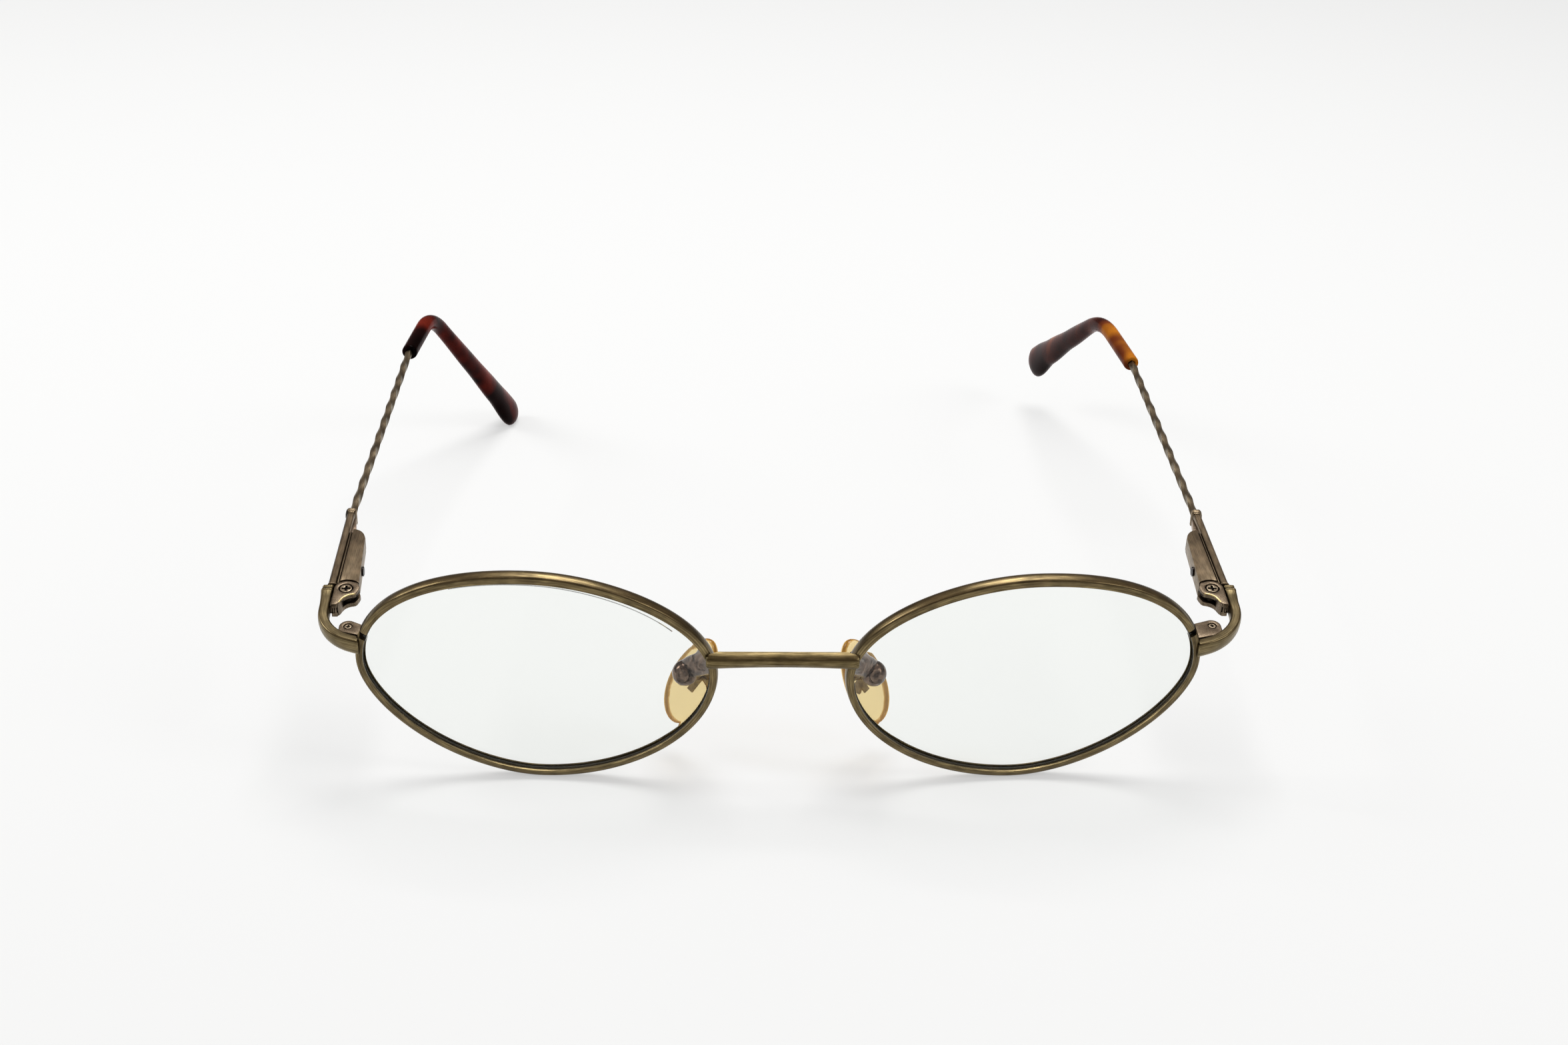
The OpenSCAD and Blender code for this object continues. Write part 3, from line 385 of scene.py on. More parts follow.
# Demo lens: clear acrylic with a polished face. It bends what is behind it a little, and lets light through.
def clearLens():
    material, tree = newMaterial("acrylicClear")
    path = addNode(tree, "LightPath")
    passed = addNode(tree, "Math", {0: path.outputs["Is Shadow Ray"], 1: path.outputs["Is Diffuse Ray"]},
                     operation="MAXIMUM").outputs["Value"]
    bent = addNode(tree, "BsdfRefraction", {"Color": linear("#fcfdfc"), "Roughness": 0.0,
                                            "IOR": 1.49}).outputs["BSDF"]
    gloss = addNode(tree, "BsdfGlossy", {"Color": linear("#ffffff"), "Roughness": 0.02}).outputs["BSDF"]
    mirrored = addNode(tree, "Fresnel", {"IOR": 1.49}).outputs["Fac"]
    # a thin coating takes most of the mirror away
    mirrored = addNode(tree, "Math", {0: mirrored, 1: 0.3}, operation="MULTIPLY").outputs["Value"]
    glass = addNode(tree, "MixShader", {0: mirrored, 1: bent, 2: gloss}).outputs["Shader"]
    clear = addNode(tree, "BsdfTransparent", {"Color": linear("#f6f7f6")}).outputs["BSDF"]
    finishMaterial(tree, addNode(tree, "MixShader", {0: passed, 1: glass, 2: clear}).outputs["Shader"])
    return material


# Ground edge of the lens: frosted by the edging wheel, so it reads as a thin grey line
def groundEdge(name, alpha):
    material, tree = newMaterial(name)
    place = addNode(tree, "TexCoord").outputs["Object"]
    frost = addNode(tree, "TexNoise", {"Vector": place, "Scale": 1000 / 0.25, "Detail": 2}).outputs["Fac"]
    colour = addRamp(tree, frost, [(0.3, "#8f918d"), (0.7, "#c3c5c0")])
    finishMaterial(tree, addNode(tree, "BsdfPrincipled", {
        "Base Color": colour, "Roughness": 0.45, "IOR": 1.49, "Alpha": alpha}).outputs["BSDF"])
    return material


lensClear = clearLens()
lensEdge = groundEdge("acrylicEdge", 0.12)
# drawn only on part of the left lens: a frosted bevel with a painted reflection
lensLineReflection = groundEdge("acrylicGroundLineReflection", 0.75)


# Tortoise acetate: sheet with clouded colour in its depth, tumbled and polished to a gloss
def tortoise(name, stops, cloud, fade):
    material, tree = newMaterial(name)
    place = addNode(tree, "Attribute", **alongPiece).outputs["Vector"]
    stretch = (1 / cloud, 0.9 / cloud, 0.9 / cloud)
    spots = addNode(tree, "Mapping", {"Vector": place, "Scale": stretch}).outputs["Vector"]
    clouds = addNode(tree, "TexNoise", {"Vector": spots, "Scale": 1, "Detail": 2,
                                        "Roughness": 0.45}).outputs["Fac"]
    along = addNode(tree, "SeparateXYZ", {"Vector": place}).outputs["X"]  # mm from the mouth
    start, end, first, last = fade
    drift = addNode(tree, "MapRange", {"Value": along, "From Min": start, "From Max": end,
                                       "To Min": first, "To Max": last}).outputs["Result"]
    clouds = addNode(tree, "Math", {0: clouds, 1: drift}, operation="ADD").outputs["Value"]
    colour = addRamp(tree, clouds, stops)
    finishMaterial(tree, addNode(tree, "BsdfPrincipled", {
        "Base Color": colour, "Roughness": 0.2, "IOR": 1.49, "Specular IOR Level": 0.02, "Sheen Weight": 0.25,
        "Sheen Roughness": 0.3, "Sheen Tint": linear("#a82414"), "Subsurface Weight": 0.05,
        "Subsurface Radius": (0.0012, 0.0004, 0.0002), "Subsurface Scale": 1.0}).outputs["BSDF"])
    return material


# after the colours: size of a cloud in mm, then from where to where along the tip the colours drift, and
# how far at either end
leftTortoise = tortoise("acetateTortoiseDark",
                        [(0.3, "#040101"), (0.46, "#140404"), (0.58, "#4a120b"), (0.75, "#7a2618")],
                        7, (0, 9, -0.2, 0.07))
rightTortoise = tortoise("acetateTortoiseAmber",
                         [(0.3, "#120605"), (0.46, "#3a160f"), (0.58, "#6b3217"), (0.72, "#b66d1c")],
                         8, (5, 30, 0.16, -0.09))


# Nose pad: soft clear vinyl that has yellowed, thin and pale in the middle and amber in its thick border
def padVinyl():
    material, tree = newMaterial("vinylClearAmber")
    place = addNode(tree, "Attribute", **alongPiece).outputs["Vector"]
    inside = addNode(tree, "SeparateXYZ", {"Vector": place}).outputs["X"]  # mm in from the outline
    spot = addNode(tree, "TexCoord").outputs["Object"]
    mottle = addNode(tree, "TexNoise", {"Vector": spot, "Scale": 1400, "Detail": 3}).outputs["Fac"]  # 0.7 mm
    wave = addNode(tree, "Math", {0: mottle, 1: 0.12}, operation="MULTIPLY").outputs["Value"]
    inside = addNode(tree, "Math", {0: inside, 1: wave}, operation="ADD").outputs["Value"]
    colour = addRamp(tree, inside, [(0.0, "#7a5220"), (0.1, "#9a6a2a"), (0.17, "#c99c50"), (0.25, "#f9e4ae")])
    tint = addRamp(tree, inside, [(0.0, "#b3812f"), (0.13, "#dfb564"), (0.25, "#fff3d4")])
    thin = addRamp(tree, inside, [(0.03, 0.12), (0.15, 0.34), (0.25, 0.84)])
    vinyl = addNode(tree, "BsdfPrincipled", {"Base Color": colour, "Roughness": 0.22,
                                             "IOR": 1.45}).outputs["BSDF"]
    passed = addNode(tree, "BsdfTransparent", {"Color": tint}).outputs["BSDF"]
    finishMaterial(tree, addNode(tree, "MixShader", {0: thin, 1: vinyl, 2: passed}).outputs["Shader"])
    return material


padAmber = padVinyl()
print("materials ready")

# Rims and lenses

lensForm = {
    "gap": 20.4, "half": 24.5, "rise": 16.4, "fall": 17.9, "faces": (-0.35, 0.6),
    "base": 104, "wrap": radians(3.5),
    "fullness": [2.13, 1.83, 1.99, 1.66],  # up out, up in, down in, down out
    # ground line at the top of the left lens, partly a frosted bevel and partly a painted reflection, drawn
    # only where it shows: how far in at the temple, and more at the nose
    "lineInset": (0.17, 0.85), "lineWidth": 0.15,
    "lineFacing": (0.72, 0.3),  # it is drawn where the edge faces up by more, and to the temple by less
    "soften": 1.4,  # mm of outline on either side that a point is averaged over
}


def ovalPoint(a, grow=0.0):
    quarter = int((a % (2 * pi)) // (pi / 2))
    power = 2 / lensForm["fullness"][quarter]
    tall = lensForm["rise"] if quarter < 2 else lensForm["fall"]
    return Vector(((lensForm["half"] + grow) * copysign(abs(cos(a)) ** power, cos(a)),
                   (tall + grow) * copysign(abs(sin(a)) ** power, sin(a))))


def spaced(points, count, closed):
    # the same line with evenly spaced points
    line = points + [points[0]] if closed else points
    runs = [0.0]
    for a, b in zip(line, line[1:]):
        runs.append(runs[-1] + (b - a).length)
    made, k = [], 0
    for i in range(count):
        want = runs[-1] * i / (count if closed else count - 1)
        while k < len(runs) - 2 and runs[k + 1] < want:
            k += 1
        made.append(line[k].lerp(line[k + 1], (want - runs[k]) / max(runs[k + 1] - runs[k], 1e-9)))
    return made


def lensOutline(count=720):
    points = spaced([ovalPoint(2 * pi * i / 2000 + 1e-4) for i in range(2000)], count, True)
    step = (points[1] - points[0]).length
    reach = round(lensForm["soften"] / step)
    near = range(-reach, reach + 1)
    for _ in range(2):
        points = [sum((points[(i + k) % count] for k in near), Vector((0, 0))) / len(near)
                  for i in range(count)]
    normals = []
    for i in range(count):
        d = (points[(i + 1) % count] - points[i - 1]).normalized()
        normals.append(Vector((d.y, -d.x)))
    return points, normals


def onFront(uv, depth):
    w = uv.length_squared / (2 * lensForm["base"]) + depth
    c, s = cos(lensForm["wrap"]), sin(lensForm["wrap"])
    centre = lensForm["gap"] / 2 + lensForm["half"]
    return Vector((centre + uv.x * c - w * s, uv.x * s + w * c, uv.y))


outline, outlineNormals = lensOutline()

rimForm = {
    "thickness": 1.35, "halfDepth": 0.95, "slim": 0.92,
    "split": [4.75, 5.65], "notch": [0.22, 0.5],  # level of the wire's two ends, and the gap between them
    # the wire's section from the groove round the front: out from the lens edge, and forward
    "front": [(0.5, 0.0), (0.05, 0.42), (0.0, 0.5), (0.0, 0.82), (0.03, 0.9), (0.1, 0.945), (0.3, 0.955),
              (0.62, 0.955), (0.88, 0.94), (1.02, 0.91), (1.12, 0.85), (1.18, 0.76), (1.24, 0.5), (1.3, 0.2)],
    # and on round the back, with the lip that stands a little in over the lens
    "rear": [(1.3, 0.2), (1.22, 0.5), (1.14, 0.74), (1.05, 0.86), (0.9, 0.92), (0.6, 0.95), (0.0, 0.95),
             (-0.27, 0.93), (-0.35, 0.87), (-0.36, 0.76), (-0.3, 0.69), (-0.02, 0.66), (0.0, 0.5),
             (0.05, 0.42)],
}
rimSection = [(x * rimForm["slim"], -y) for x, y in rimForm["front"]]
rimSection += [(x * rimForm["slim"], y) for x, y in rimForm["rear"]]


def rimStations(side):
    # from just above the split on the temple side, over the top and round to just below it
    grow = rimForm["thickness"]
    count = len(outline)
    split = rimForm["split"][side]
    start = next(i for i in range(count)
                 if outline[i].x > 0 and outline[i].y >= split + rimForm["notch"][side])
    stop = next(i for i in range(start, 2 * count)
                if outline[i % count].x > 0 and outline[(i + 2) % count].y > split and i > start + count / 2)
    made, run, before = [], 0.0, None
    for i in range(start, stop + 1, 3):
        k = i % count
        here = onFront(outline[k], 0)
        outward = onFront(outline[k] + outlineNormals[k], 0) - here
        run += (here - before).length if before else 0
        before = here
        made.append((here, outward.normalized(), onFront(outline[k], 1) - here, run))
    return made


def buildRim(side):
    name = sideNames[side]
    bm = bmesh.new()
    sweep(bm, rimStations(side), lambda i: rimSection)
    addPiece(name + "RimWire", bm, frontPlace(side), [rimBrass], "front", [name + "_rim"])


def buildLens(side):
    name = sideNames[side]
    bm = bmesh.new()
    front, back = lensForm["faces"]
    # share of the outline, growth past it, depth, and finish; the bevel of the edge sits in the rim's groove
    rings = [(share, 0, front, 0) for share in (0.02, 0.3, 0.6, 0.85)]
    rings += [(1, "line", front, 0), (1, "lineOut", front, 2), (1, -0.1, front, 0)]
    rings += [(1, -0.04, front + 0.05, 1), (1, -0.04, -0.2, 1), (1, 0.4, 0, 1), (1, -0.04, 0.32, 1),
              (1, -0.04, back - 0.06, 1), (1, -0.1, back, 1)]
    rings += [(share, 0, back, 0) for share in (0.97, 0.85, 0.6, 0.3, 0.02)]
    picks = range(0, len(outline), 4)

    def growth(grow, k):
        if not isinstance(grow, str):
            return grow
        n = outlineNormals[k]
        nose = (1 - n.x) / 2  # 0 at the temple side, 1 at the nose
        inset = lensForm["lineInset"][0] + lensForm["lineInset"][1] * nose * nose
        return -inset - (lensForm["lineWidth"] if grow == "line" else 0)

    up, out = lensForm["lineFacing"]
    lined = [side == left and outlineNormals[k].y > up and outlineNormals[k].x < out for k in picks]
    ring = bmesh.ops.create_circle(bm, segments=len(picks), radius=1)["verts"]
    first = list(ring)
    for i, (share, grow, depth, finish) in enumerate(rings):
        if i:
            ring, faces = nextRing(bm, ring)
            for face in faces:
                face.material_index = finish
        if finish == 2:  # the ground line is only on part of the ring
            for shown, v in zip(lined, ring):
                for face in v.link_faces:
                    face.material_index = 2 if shown else 0
        for v, k in zip(ring, picks):
            v.co = onFront(outline[k] * share + outlineNormals[k] * growth(grow, k), depth)
    closeRing(bm, first)
    closeRing(bm, ring)
    addPiece(name + "DemoLens", bm, frontPlace(side), [lensClear, lensEdge, lensLineReflection], "front",
             [name + "_lens"])


def rimSideAt(z, grow, outside=True):
    # point of the rim's side at a height, at the lens plane
    best = min((abs(p.y + n.y * grow - z), i) for i, (p, n) in enumerate(zip(outline, outlineNormals))
               if (p.x > 0) == outside)[1]
    return onFront(outline[best] + outlineNormals[best] * grow, 0)


for side in (left, right):
    buildRim(side)
    buildLens(side)
print("rims and lenses built")

# Bridge

bridgeForm = {
    "height": 2.5, "thickness": 1.7, "level": 3.1, "arch": 0.35, "proud": 1.1,
    "overlap": 0.75,  # mm that each end lies over the front of its rim
    # depth of the rim under an end; where the cut for it begins, and its ramp
    "rest": 0.9, "cut": (0.85, 0.35),
    # section: back and up as shares of thickness and height
    "section": [(0.5, -0.3), (0.47, -0.44), (0.38, -0.5), (0.0, -0.5), (-0.16, -0.47), (-0.3, -0.4),
                (-0.41, -0.29), (-0.48, -0.15), (-0.5, 0.0), (-0.49, 0.12), (-0.46, 0.22), (-0.4, 0.3),
                (-0.32, 0.36), (-0.2, 0.41), (0.0, 0.465), (0.2, 0.495), (0.36, 0.5), (0.46, 0.44),
                (0.5, 0.3)],
}


def buildBridge():
    f = bridgeForm
    seat = rimSideAt(f["level"], rimForm["thickness"] / 2, outside=False)
    half = seat.x + f["overlap"]
    ends = {1: 0.6, 0.995: 0.76, 0.985: 0.87, 0.96: 0.95}  # place as a share of half the length, shrink
    places = [-p for p in ends] + [-0.92 + 0.92 * i / 12 for i in range(25)] + list(ends)[::-1]
    front = seat.y - f["proud"]
    inward, ramp = f["cut"]
    stations = [(Vector((p * half, front, f["level"])), Vector((0, 1, 0)), Vector((0, 0, 1)), p * half)
                for p in places]

    def section(i):
        p = places[i]
        shrink = ends.get(round(abs(p), 3), 1)
        over = min(1, max(0, (abs(p) * half - seat.x + inward) / ramp))  # 1 where the end lies on the rim
        points = []
        for x, y in f["section"]:
            back = x * f["thickness"] * shrink
            limit = f["thickness"] / 2 + (f["proud"] - f["rest"] - f["thickness"] / 2) * over
            raised = f["arch"] * (1 - p * p) if y < 0 else 0
            points.append((min(back, limit), y * f["height"] * shrink + raised))
        return points

    bm = bmesh.new()
    sweep(bm, stations, section)
    addPiece("bridgeBar", bm, frontPlace(right), [bridgeBrass], "front", ["bridge"])


buildBridge()
print("bridge built")

# End pieces, rim locks

endForm = {
    "height": 2.65, "heightBack": 2.2, "drop": 0.7, "thickness": 1.5, "startAngle": radians(16), "lap": 0.85,
    "overlap": 0.5, "lead": 0.2,  # how far it lies over the rim in the solid, and how much further here
    "lift": 0.12, "straight": 1.2,
    "startSteps": (0, 0.06, 0.16, 0.3, 0.6), "startSizes": {0: 0.74, 1: 0.9, 2: 0.98},  # its rounded start
    # share of the thickness that it swells to, and length of the slanted end
    "outmost": 0.66, "slantFrom": 0.25,
    "shoulder": (1.25, 1.0), "bulge": (3.4, 0.22),  # length and depth of the outer end's rounding and swell
    "bead": 1.3, "beadPlaces": [0, 0.06, 0.14, 0.24, 0.36, 0.46, 0.56, 0.66, 0.78, 0.88, 0.95, 1],
    "swell": [1, 1.03, 1.08, 1.09, 1.05, 1.01, 1.03, 1.1, 1.12, 1.1, 1.05, 0.95],
    "seamFront": 0.88, "flex": radians(6),
    "section": [(-0.5, -0.38), (-0.47, -0.46), (-0.38, -0.5), (0.0, -0.5), (0.16, -0.475), (0.29, -0.42),
                (0.39, -0.33), (0.46, -0.2), (0.49, -0.06), (0.5, 0.08), (0.49, 0.22), (0.465, 0.33),
                (0.43, 0.41), (0.38, 0.465), (0.31, 0.495), (0.24, 0.5), (0.14, 0.5), (-0.3, 0.5),
                (-0.38, 0.49), (-0.46, 0.45), (-0.5, 0.38)],
}
rimSide = rimSideAt(stance["endLevel"], rimForm["thickness"])


def endPath(side):
    f = endForm
    a = f["startAngle"]
    s = Vector((cos(a), sin(a)))
    p = Vector((rimSide.x - f["overlap"], rimSide.y - rimForm["halfDepth"] - f["thickness"] / 2 + f["lap"]))
    corner = p + s * f["straight"]
    reach, stop = stance["endReach"][side], stance["hingeDepth"][side] + f["seamFront"]
    r = (reach - corner.x) / (1 - s.y)
    turnEnd = corner.y + r * s.x
    path = [(p - s * (f["lead"] - d), a) for d in f["startSteps"]] + [(p + s * 0.8, a)]
    path += [(corner + r * Vector((sin(t) - s.y, s.x - cos(t))), t)
             for t in (a + (pi / 2 - a) * i / 20 for i in range(21))]
    start = stop - f["bead"]
    path += [(Vector((reach, turnEnd + (start - turnEnd) * k)), pi / 2) for k in (0.33, 0.66)]
    beadStart = len(path)
    for k in f["beadPlaces"]:
        path.append((Vector((reach, start + f["bead"] * k)), pi / 2))
    return path, beadStart


def buildEndPiece(side):
    f = endForm
    name = sideNames[side]
    path, beadStart = endPath(side)
    stations, sizes, run = [], [], 0.0
    for i, (p, t) in enumerate(path):
        run += (p - path[i - 1][0]).length if i else 0
        back = min(1, max(0, (i - 3) / (beadStart - 5)))
        z = stance["endLevel"] - f["drop"] * (1 - back)
        stations.append((Vector((p.x, p.y, z)), Vector((sin(t), -cos(t), 0)), Vector((0, 0, 1)), run))
        grow = f["swell"][i - beadStart] if i >= beadStart else f["startSizes"].get(i, 1)
        over = min(1, max(0, (3.6 - i) / 0.8)) if i < 4 else 0
        tall = f["height"] + (f["heightBack"] - f["height"]) * back
        sizes.append((f["thickness"] * grow, tall * grow, over))

    def section(i):
        thick, tall, over = sizes[i]
        inner = -thick / 2 + (thick / 2 - f["thickness"] / 2 + f["lap"] + f["lift"]) * over
        return [(max(x * thick, inner), y * tall) for x, y in f["section"]]

    bm = bmesh.new()
    sweep(bm, stations, section)
    slant = tan(f["flex"])
    reach, stop = stance["endReach"][side], stance["hingeDepth"][side] + f["seamFront"]
    length, deep = f["shoulder"]
    for v in bm.verts:
        along = min(1, max(0, (v.co.y - stop + length) / length))
        bulge = min(1, max(0, (v.co.y - stop + f["bulge"][0]) / f["bulge"][0]))
        if v.co.x > reach:
            v.co.x += f["bulge"][1] * sin(pi * bulge) ** 2
        v.co.x = min(v.co.x, reach + f["thickness"] * f["outmost"] - deep * (1 - (1 - along * along) ** 0.5))
        if v.co.y > stop - f["slantFrom"]:
            v.co.y -= (v.co.x - reach + f["thickness"] / 2) * slant
    addPiece(name + "EndPieceBar", bm, frontPlace(side), [endBrass], "front", [name + "_end_piece"])


lockForm = {
    "radius": 1.27, "gap": 0.25, "top": 4.08, "upper": 0.6, "lower": 0.95, "clear": 0.06, "bevel": 0.1,
    "reach": [1.2, 2.13], "back": [0.75, 1.7], "inward": 0.9, "shoulder": 1.0,
    "screw": 0.5, "shank": 0.36, "hole": 0.64, "sink": 0.2, "cross": (0.09, 0.28),
    # black block in the gap between the rim's two ends, seen from above: painted shade of the gap
    "gapShadeBlock": ((-1.3, -0.34), (-0.7, 0.7)),
}


def buildLock(side):
    f = lockForm
    name = sideNames[side]
    lap = rimSide.y - rimForm["halfDepth"] + endForm["lap"]
    centre = Vector((rimSide.x + f["reach"][side], lap + f["radius"] + f["back"][side]))
    a, half = endForm["startAngle"], endForm["thickness"] / 2
    inner = Vector((rimSide.x - endForm["overlap"], lap - half))
    face = inner + Vector((-sin(a), cos(a))) * (half + f["clear"])
    # front edge of a tab lies on the end piece's back face
    width = (rimSide.x - f["inward"], centre.x + f["radius"])
    frontAt = [Vector((x, face.y + (x - face.x) * tan(a))) for x in width]
    arc = [centre + f["radius"] * Vector((cos(t), sin(t))) for t in (radians(9 * i) for i in range(13))]
    rear = Vector((frontAt[0].x, centre.y + f["radius"] - f["shoulder"]))
    shape = [(p.x, p.y) for p in frontAt + arc + [rear]]
    split = f["top"] - f["upper"]
    bm = bmesh.new()
    prism(bm, shape, split, f["top"] - f["sink"], 0.03)
    holedPlate(bm, shape, circle(centre, f["hole"]), f["top"] - f["sink"] - 0.03, f["top"], f["bevel"])
    low, high = rimForm["split"][side] - 0.05, rimForm["split"][side] + rimForm["notch"][side] + 0.05
    wire = rimSideAt((low + high) / 2, rimForm["thickness"])
    # painted shade: a black block fills the gap between the rim's two ends
    prism(bm, [(wire.x + x, wire.y + y) for x, y in rectangle(*f["gapShadeBlock"])], low, high, 0.05, finish=2)
    addPiece(name + "RimLockUpper", bm, frontPlace(side), [hingeBrass, hingeBrass, paintedShadeBlack], "front",
             [name + "_rim_lock_upper"], sharp=20)
    bm = bmesh.new()
    prism(bm, shape, split - f["gap"] - f["lower"], split - f["gap"], f["bevel"])
    addPiece(name + "RimLockLower", bm, frontPlace(side), [hingeBrass], "front",
             [name + "_rim_lock_lower"])
    bm = bmesh.new()
    crossHead(bm, centre, f["screw"], f["cross"], f["top"] - f["sink"], f["top"] - 0.04)
    prism(bm, circle(centre, f["shank"], 32), split - f["gap"] - f["lower"] - 0.02, f["top"] - f["sink"])
    addPiece(name + "RimScrew", bm, frontPlace(side), [screwFace, paintedShadeBlack], "front",
             [name + "_rim_screw"], sharp=30)


for side in (left, right):
    buildEndPiece(side)
    buildLock(side)
print("end pieces built")

# Hinges

forkForm = {
    "leaf": 0.7, "stackHalf": 1.15, "bevel": 0.15,
    "foot": ((1.6, 1.9), (-3.6, -1.6)), "footHalf": 0.7,  # soldered to the end piece
    "back": 1.7, "screwHole": 1.02, "sink": 0.38,
    "outline": [(1.7, -3.8), (0.95, -3.8), (0.55, -3.3), (0.3, -2.6), (0.05, -2.1), (-0.35, -1.75),
                (-0.8, -1.52), (-1.45, -1.38), (-1.7, -0.9), (-1.93, -0.1), (-1.95, 0.35), (-1.52, 1.27)],
    # the block between the leaves, with the grooves of its front, and how far it stays below and above them
    "blockInset": (0.16, 0.17),
    "block": [(1.66, -2.9), (1.48, -2.9), (1.48, -3.72), (1.32, -3.72), (1.32, -3.2), (1.18, -3.2),
              (1.18, -3.82), (0.96, -3.82), (0.9, -3.5), (0.8, -3.5), (0.74, -3.66), (0.52, -3.32),
              (0.27, -2.6), (0.27, -1.95), (1.66, -1.95)],
    "screw": 0.85, "shank": 0.58, "cross": (0.16, 0.62), "proud": 0.05,
}


def buildFork(side):
    f = forkForm
    name = sideNames[side]
    bm = bmesh.new()
    rim = [(f["back"] * cos(t), f["back"] * sin(t)) for t in (radians(129 - 12.9 * i) for i in range(11))]
    shape = f["outline"][:2] + rounded(f["outline"][2:]) + rim[1:]
    h, t = f["stackHalf"], f["leaf"]
    prism(bm, shape, h - t, h - f["sink"], 0.05)
    holedPlate(bm, shape, circle((0, 0), f["screwHole"]), h - f["sink"] - 0.05, h, f["bevel"])
    for face in bm.faces:
        middle = face.calc_center_median()
        if middle.y > -1.25 or middle.x > 0.75:  # only the front of the curve is rubbed bright: wear, and a painted highlight
            face.material_index = 0
        # the hole's wall below the head is painted black, as the shade in the gap round the screw
        if middle.xy.length < f["screwHole"] + 0.01 and middle.z < h - 0.04:
            face.material_index = 2
        if face.normal.x < -0.8 and abs(face.normal.z) < 0.3:  # the inner sides are painted black, as shade
            face.material_index = 2
    prism(bm, shape, -h, t - h, f["bevel"])
    prism(bm, f["block"], f["blockInset"][0] - h, h - f["blockInset"][1])
    prism(bm, rectangle(*f["foot"]), -f["footHalf"], f["footHalf"], 0.03)
    addPiece(name + "HingeFork", bm, pinPlace(side), [hingeBrass, rubbedBrassHighlight, paintedShadeBlack], "front",
             [name + "_hinge_fork"], sharp=20)
    bm = bmesh.new()
    crossHead(bm, (0, 0), f["screw"], f["cross"], h - f["sink"] + 0.06, h - f["proud"])
    # black disc at the bottom of the hole: painted shade in the gap round the head
    prism(bm, circle((0, 0), f["screwHole"] - 0.01), h - f["sink"] - 0.02, h - f["sink"] + 0.03, finish=1)
    prism(bm, circle((0, 0), f["shank"]), -h, h - f["sink"])
    addPiece(name + "HingeScrew", bm, pinPlace(side), [screwFace, paintedShadeBlack], "front",
             [name + "_hinge_screw"], sharp=30)


for side in (left, right):
    buildFork(side)
    name = sideNames[side]
    dressNode(name + "_spring_slider", sliderSteel)
    dressNode(name + "_spring", springSteel)
    dressNode(name + "_spring_guide", springSteel)
    dressNode(name + "_guide_screw", blackScrew)
print("hinges built")

# Temples: housing, bar, twisted wire and tip

templeForm = {
    "rise": [radians(3.9), radians(4.0)],  # of the wire, left and right
    "toe": [radians(2.4), radians(0.5)], "sleeveToe": [radians(7.6), radians(7)],  # turned inwards
    "tuck": [radians(26), radians(10)], "drop": [radians(46.8122), radians(32.5)],  # of the tip past its bend
    "sleeveLead": [16.4, 19.8], "bendRadius": [10, 20], "kneeRadius": 16,
    "length": 137.6, "bend": 95.8, "bar": 22.4, "barOffset": 2.27,
}


def templePlace(side):
    pin = standing(pinLocal(side))
    return sidePlace(side) @ Matrix.Translation(pin) @ Matrix.Rotation(templeForm["rise"][side], 4, "X")


def heading(side, inward):
    rise = templeForm["rise"][side]
    return Vector((-sin(inward) * cos(rise), cos(inward) * cos(rise), sin(rise)))


def templePath(side):
    # [place, direction, run] lists: wire, knee, sleeve ahead of the bend, bend, sleeve past it
    f = templeForm
    drop, tuck = f["drop"][side], f["tuck"][side]
    wireWay, sleeveWay = heading(side, f["toe"][side]), heading(side, f["sleeveToe"][side])
    dropWay = Vector((-sin(tuck) * cos(drop), cos(tuck) * cos(drop), -sin(drop)))
    start = standing(pinLocal(side)) + Vector((f["barOffset"], 0, 0)) + heading(side, 0) * f["bar"]
    wireLength = f["bend"] - f["bar"] - f["sleeveLead"][side]
    knee = start + wireWay * wireLength
    elbow = knee + sleeveWay * f["sleeveLead"][side]
    turn = acos(sleeveWay.dot(dropWay))
    kneeTangent = f["kneeRadius"] * tan((f["sleeveToe"][side] - f["toe"][side]) / 2)
    elbowTangent = f["bendRadius"][side] * tan(turn / 2)

    def line(p, d, length, run, count):
        return [(p + d * length * i / count, d, run + length * i / count) for i in range(count + 1)]

    def arc(corner, d, e, r, run, count):
        b = acos(d.dot(e))
        y = (e - d * d.dot(e)).normalized()
        a = corner - d * r * tan(b / 2)
        return [(a + r * (sin(t) * d + (1 - cos(t)) * y), cos(t) * d + sin(t) * y, run + r * t)
                for t in (b * i / count for i in range(count + 1))]

    lead = f["sleeveLead"][side] - kneeTangent - elbowTangent
    tail = f["length"] - f["bend"] - elbowTangent
    parts = [line(start, wireWay, wireLength - kneeTangent, 0, 130)]
    parts.append(arc(knee, wireWay, sleeveWay, f["kneeRadius"], parts[-1][-1][2], 5))
    parts.append(line(parts[-1][-1][0], sleeveWay, lead, parts[-1][-1][2], 14))
    parts.append(arc(elbow, sleeveWay, dropWay, f["bendRadius"][side], parts[-1][-1][2], 18))
    parts.append(line(parts[-1][-1][0], dropWay, tail, parts[-1][-1][2], 44))
    return parts, sleeveWay.cross(dropWay).normalized()


def stationAt(place, way, run, side):
    # across is n, level with the bend's side; up is v
    n = (side - way * side.dot(way)).normalized()
    return (place, n, n.cross(way), run)


housingForm = {
    "length": 16.6, "height": 2.4, "out": 1.1, "inFront": 1.65, "inBack": 1.0, "straight": 13.3, "start": 1.3,
    "cut": 2.1, "foot": 1.62, "groove": 0.4, "ridge": (1.28, 1.45), "bevel": 0.22,
    "slot": 0.72, "slotDepth": 4.2, "chamber": 0.93, "chamberDepth": 8.2,
}


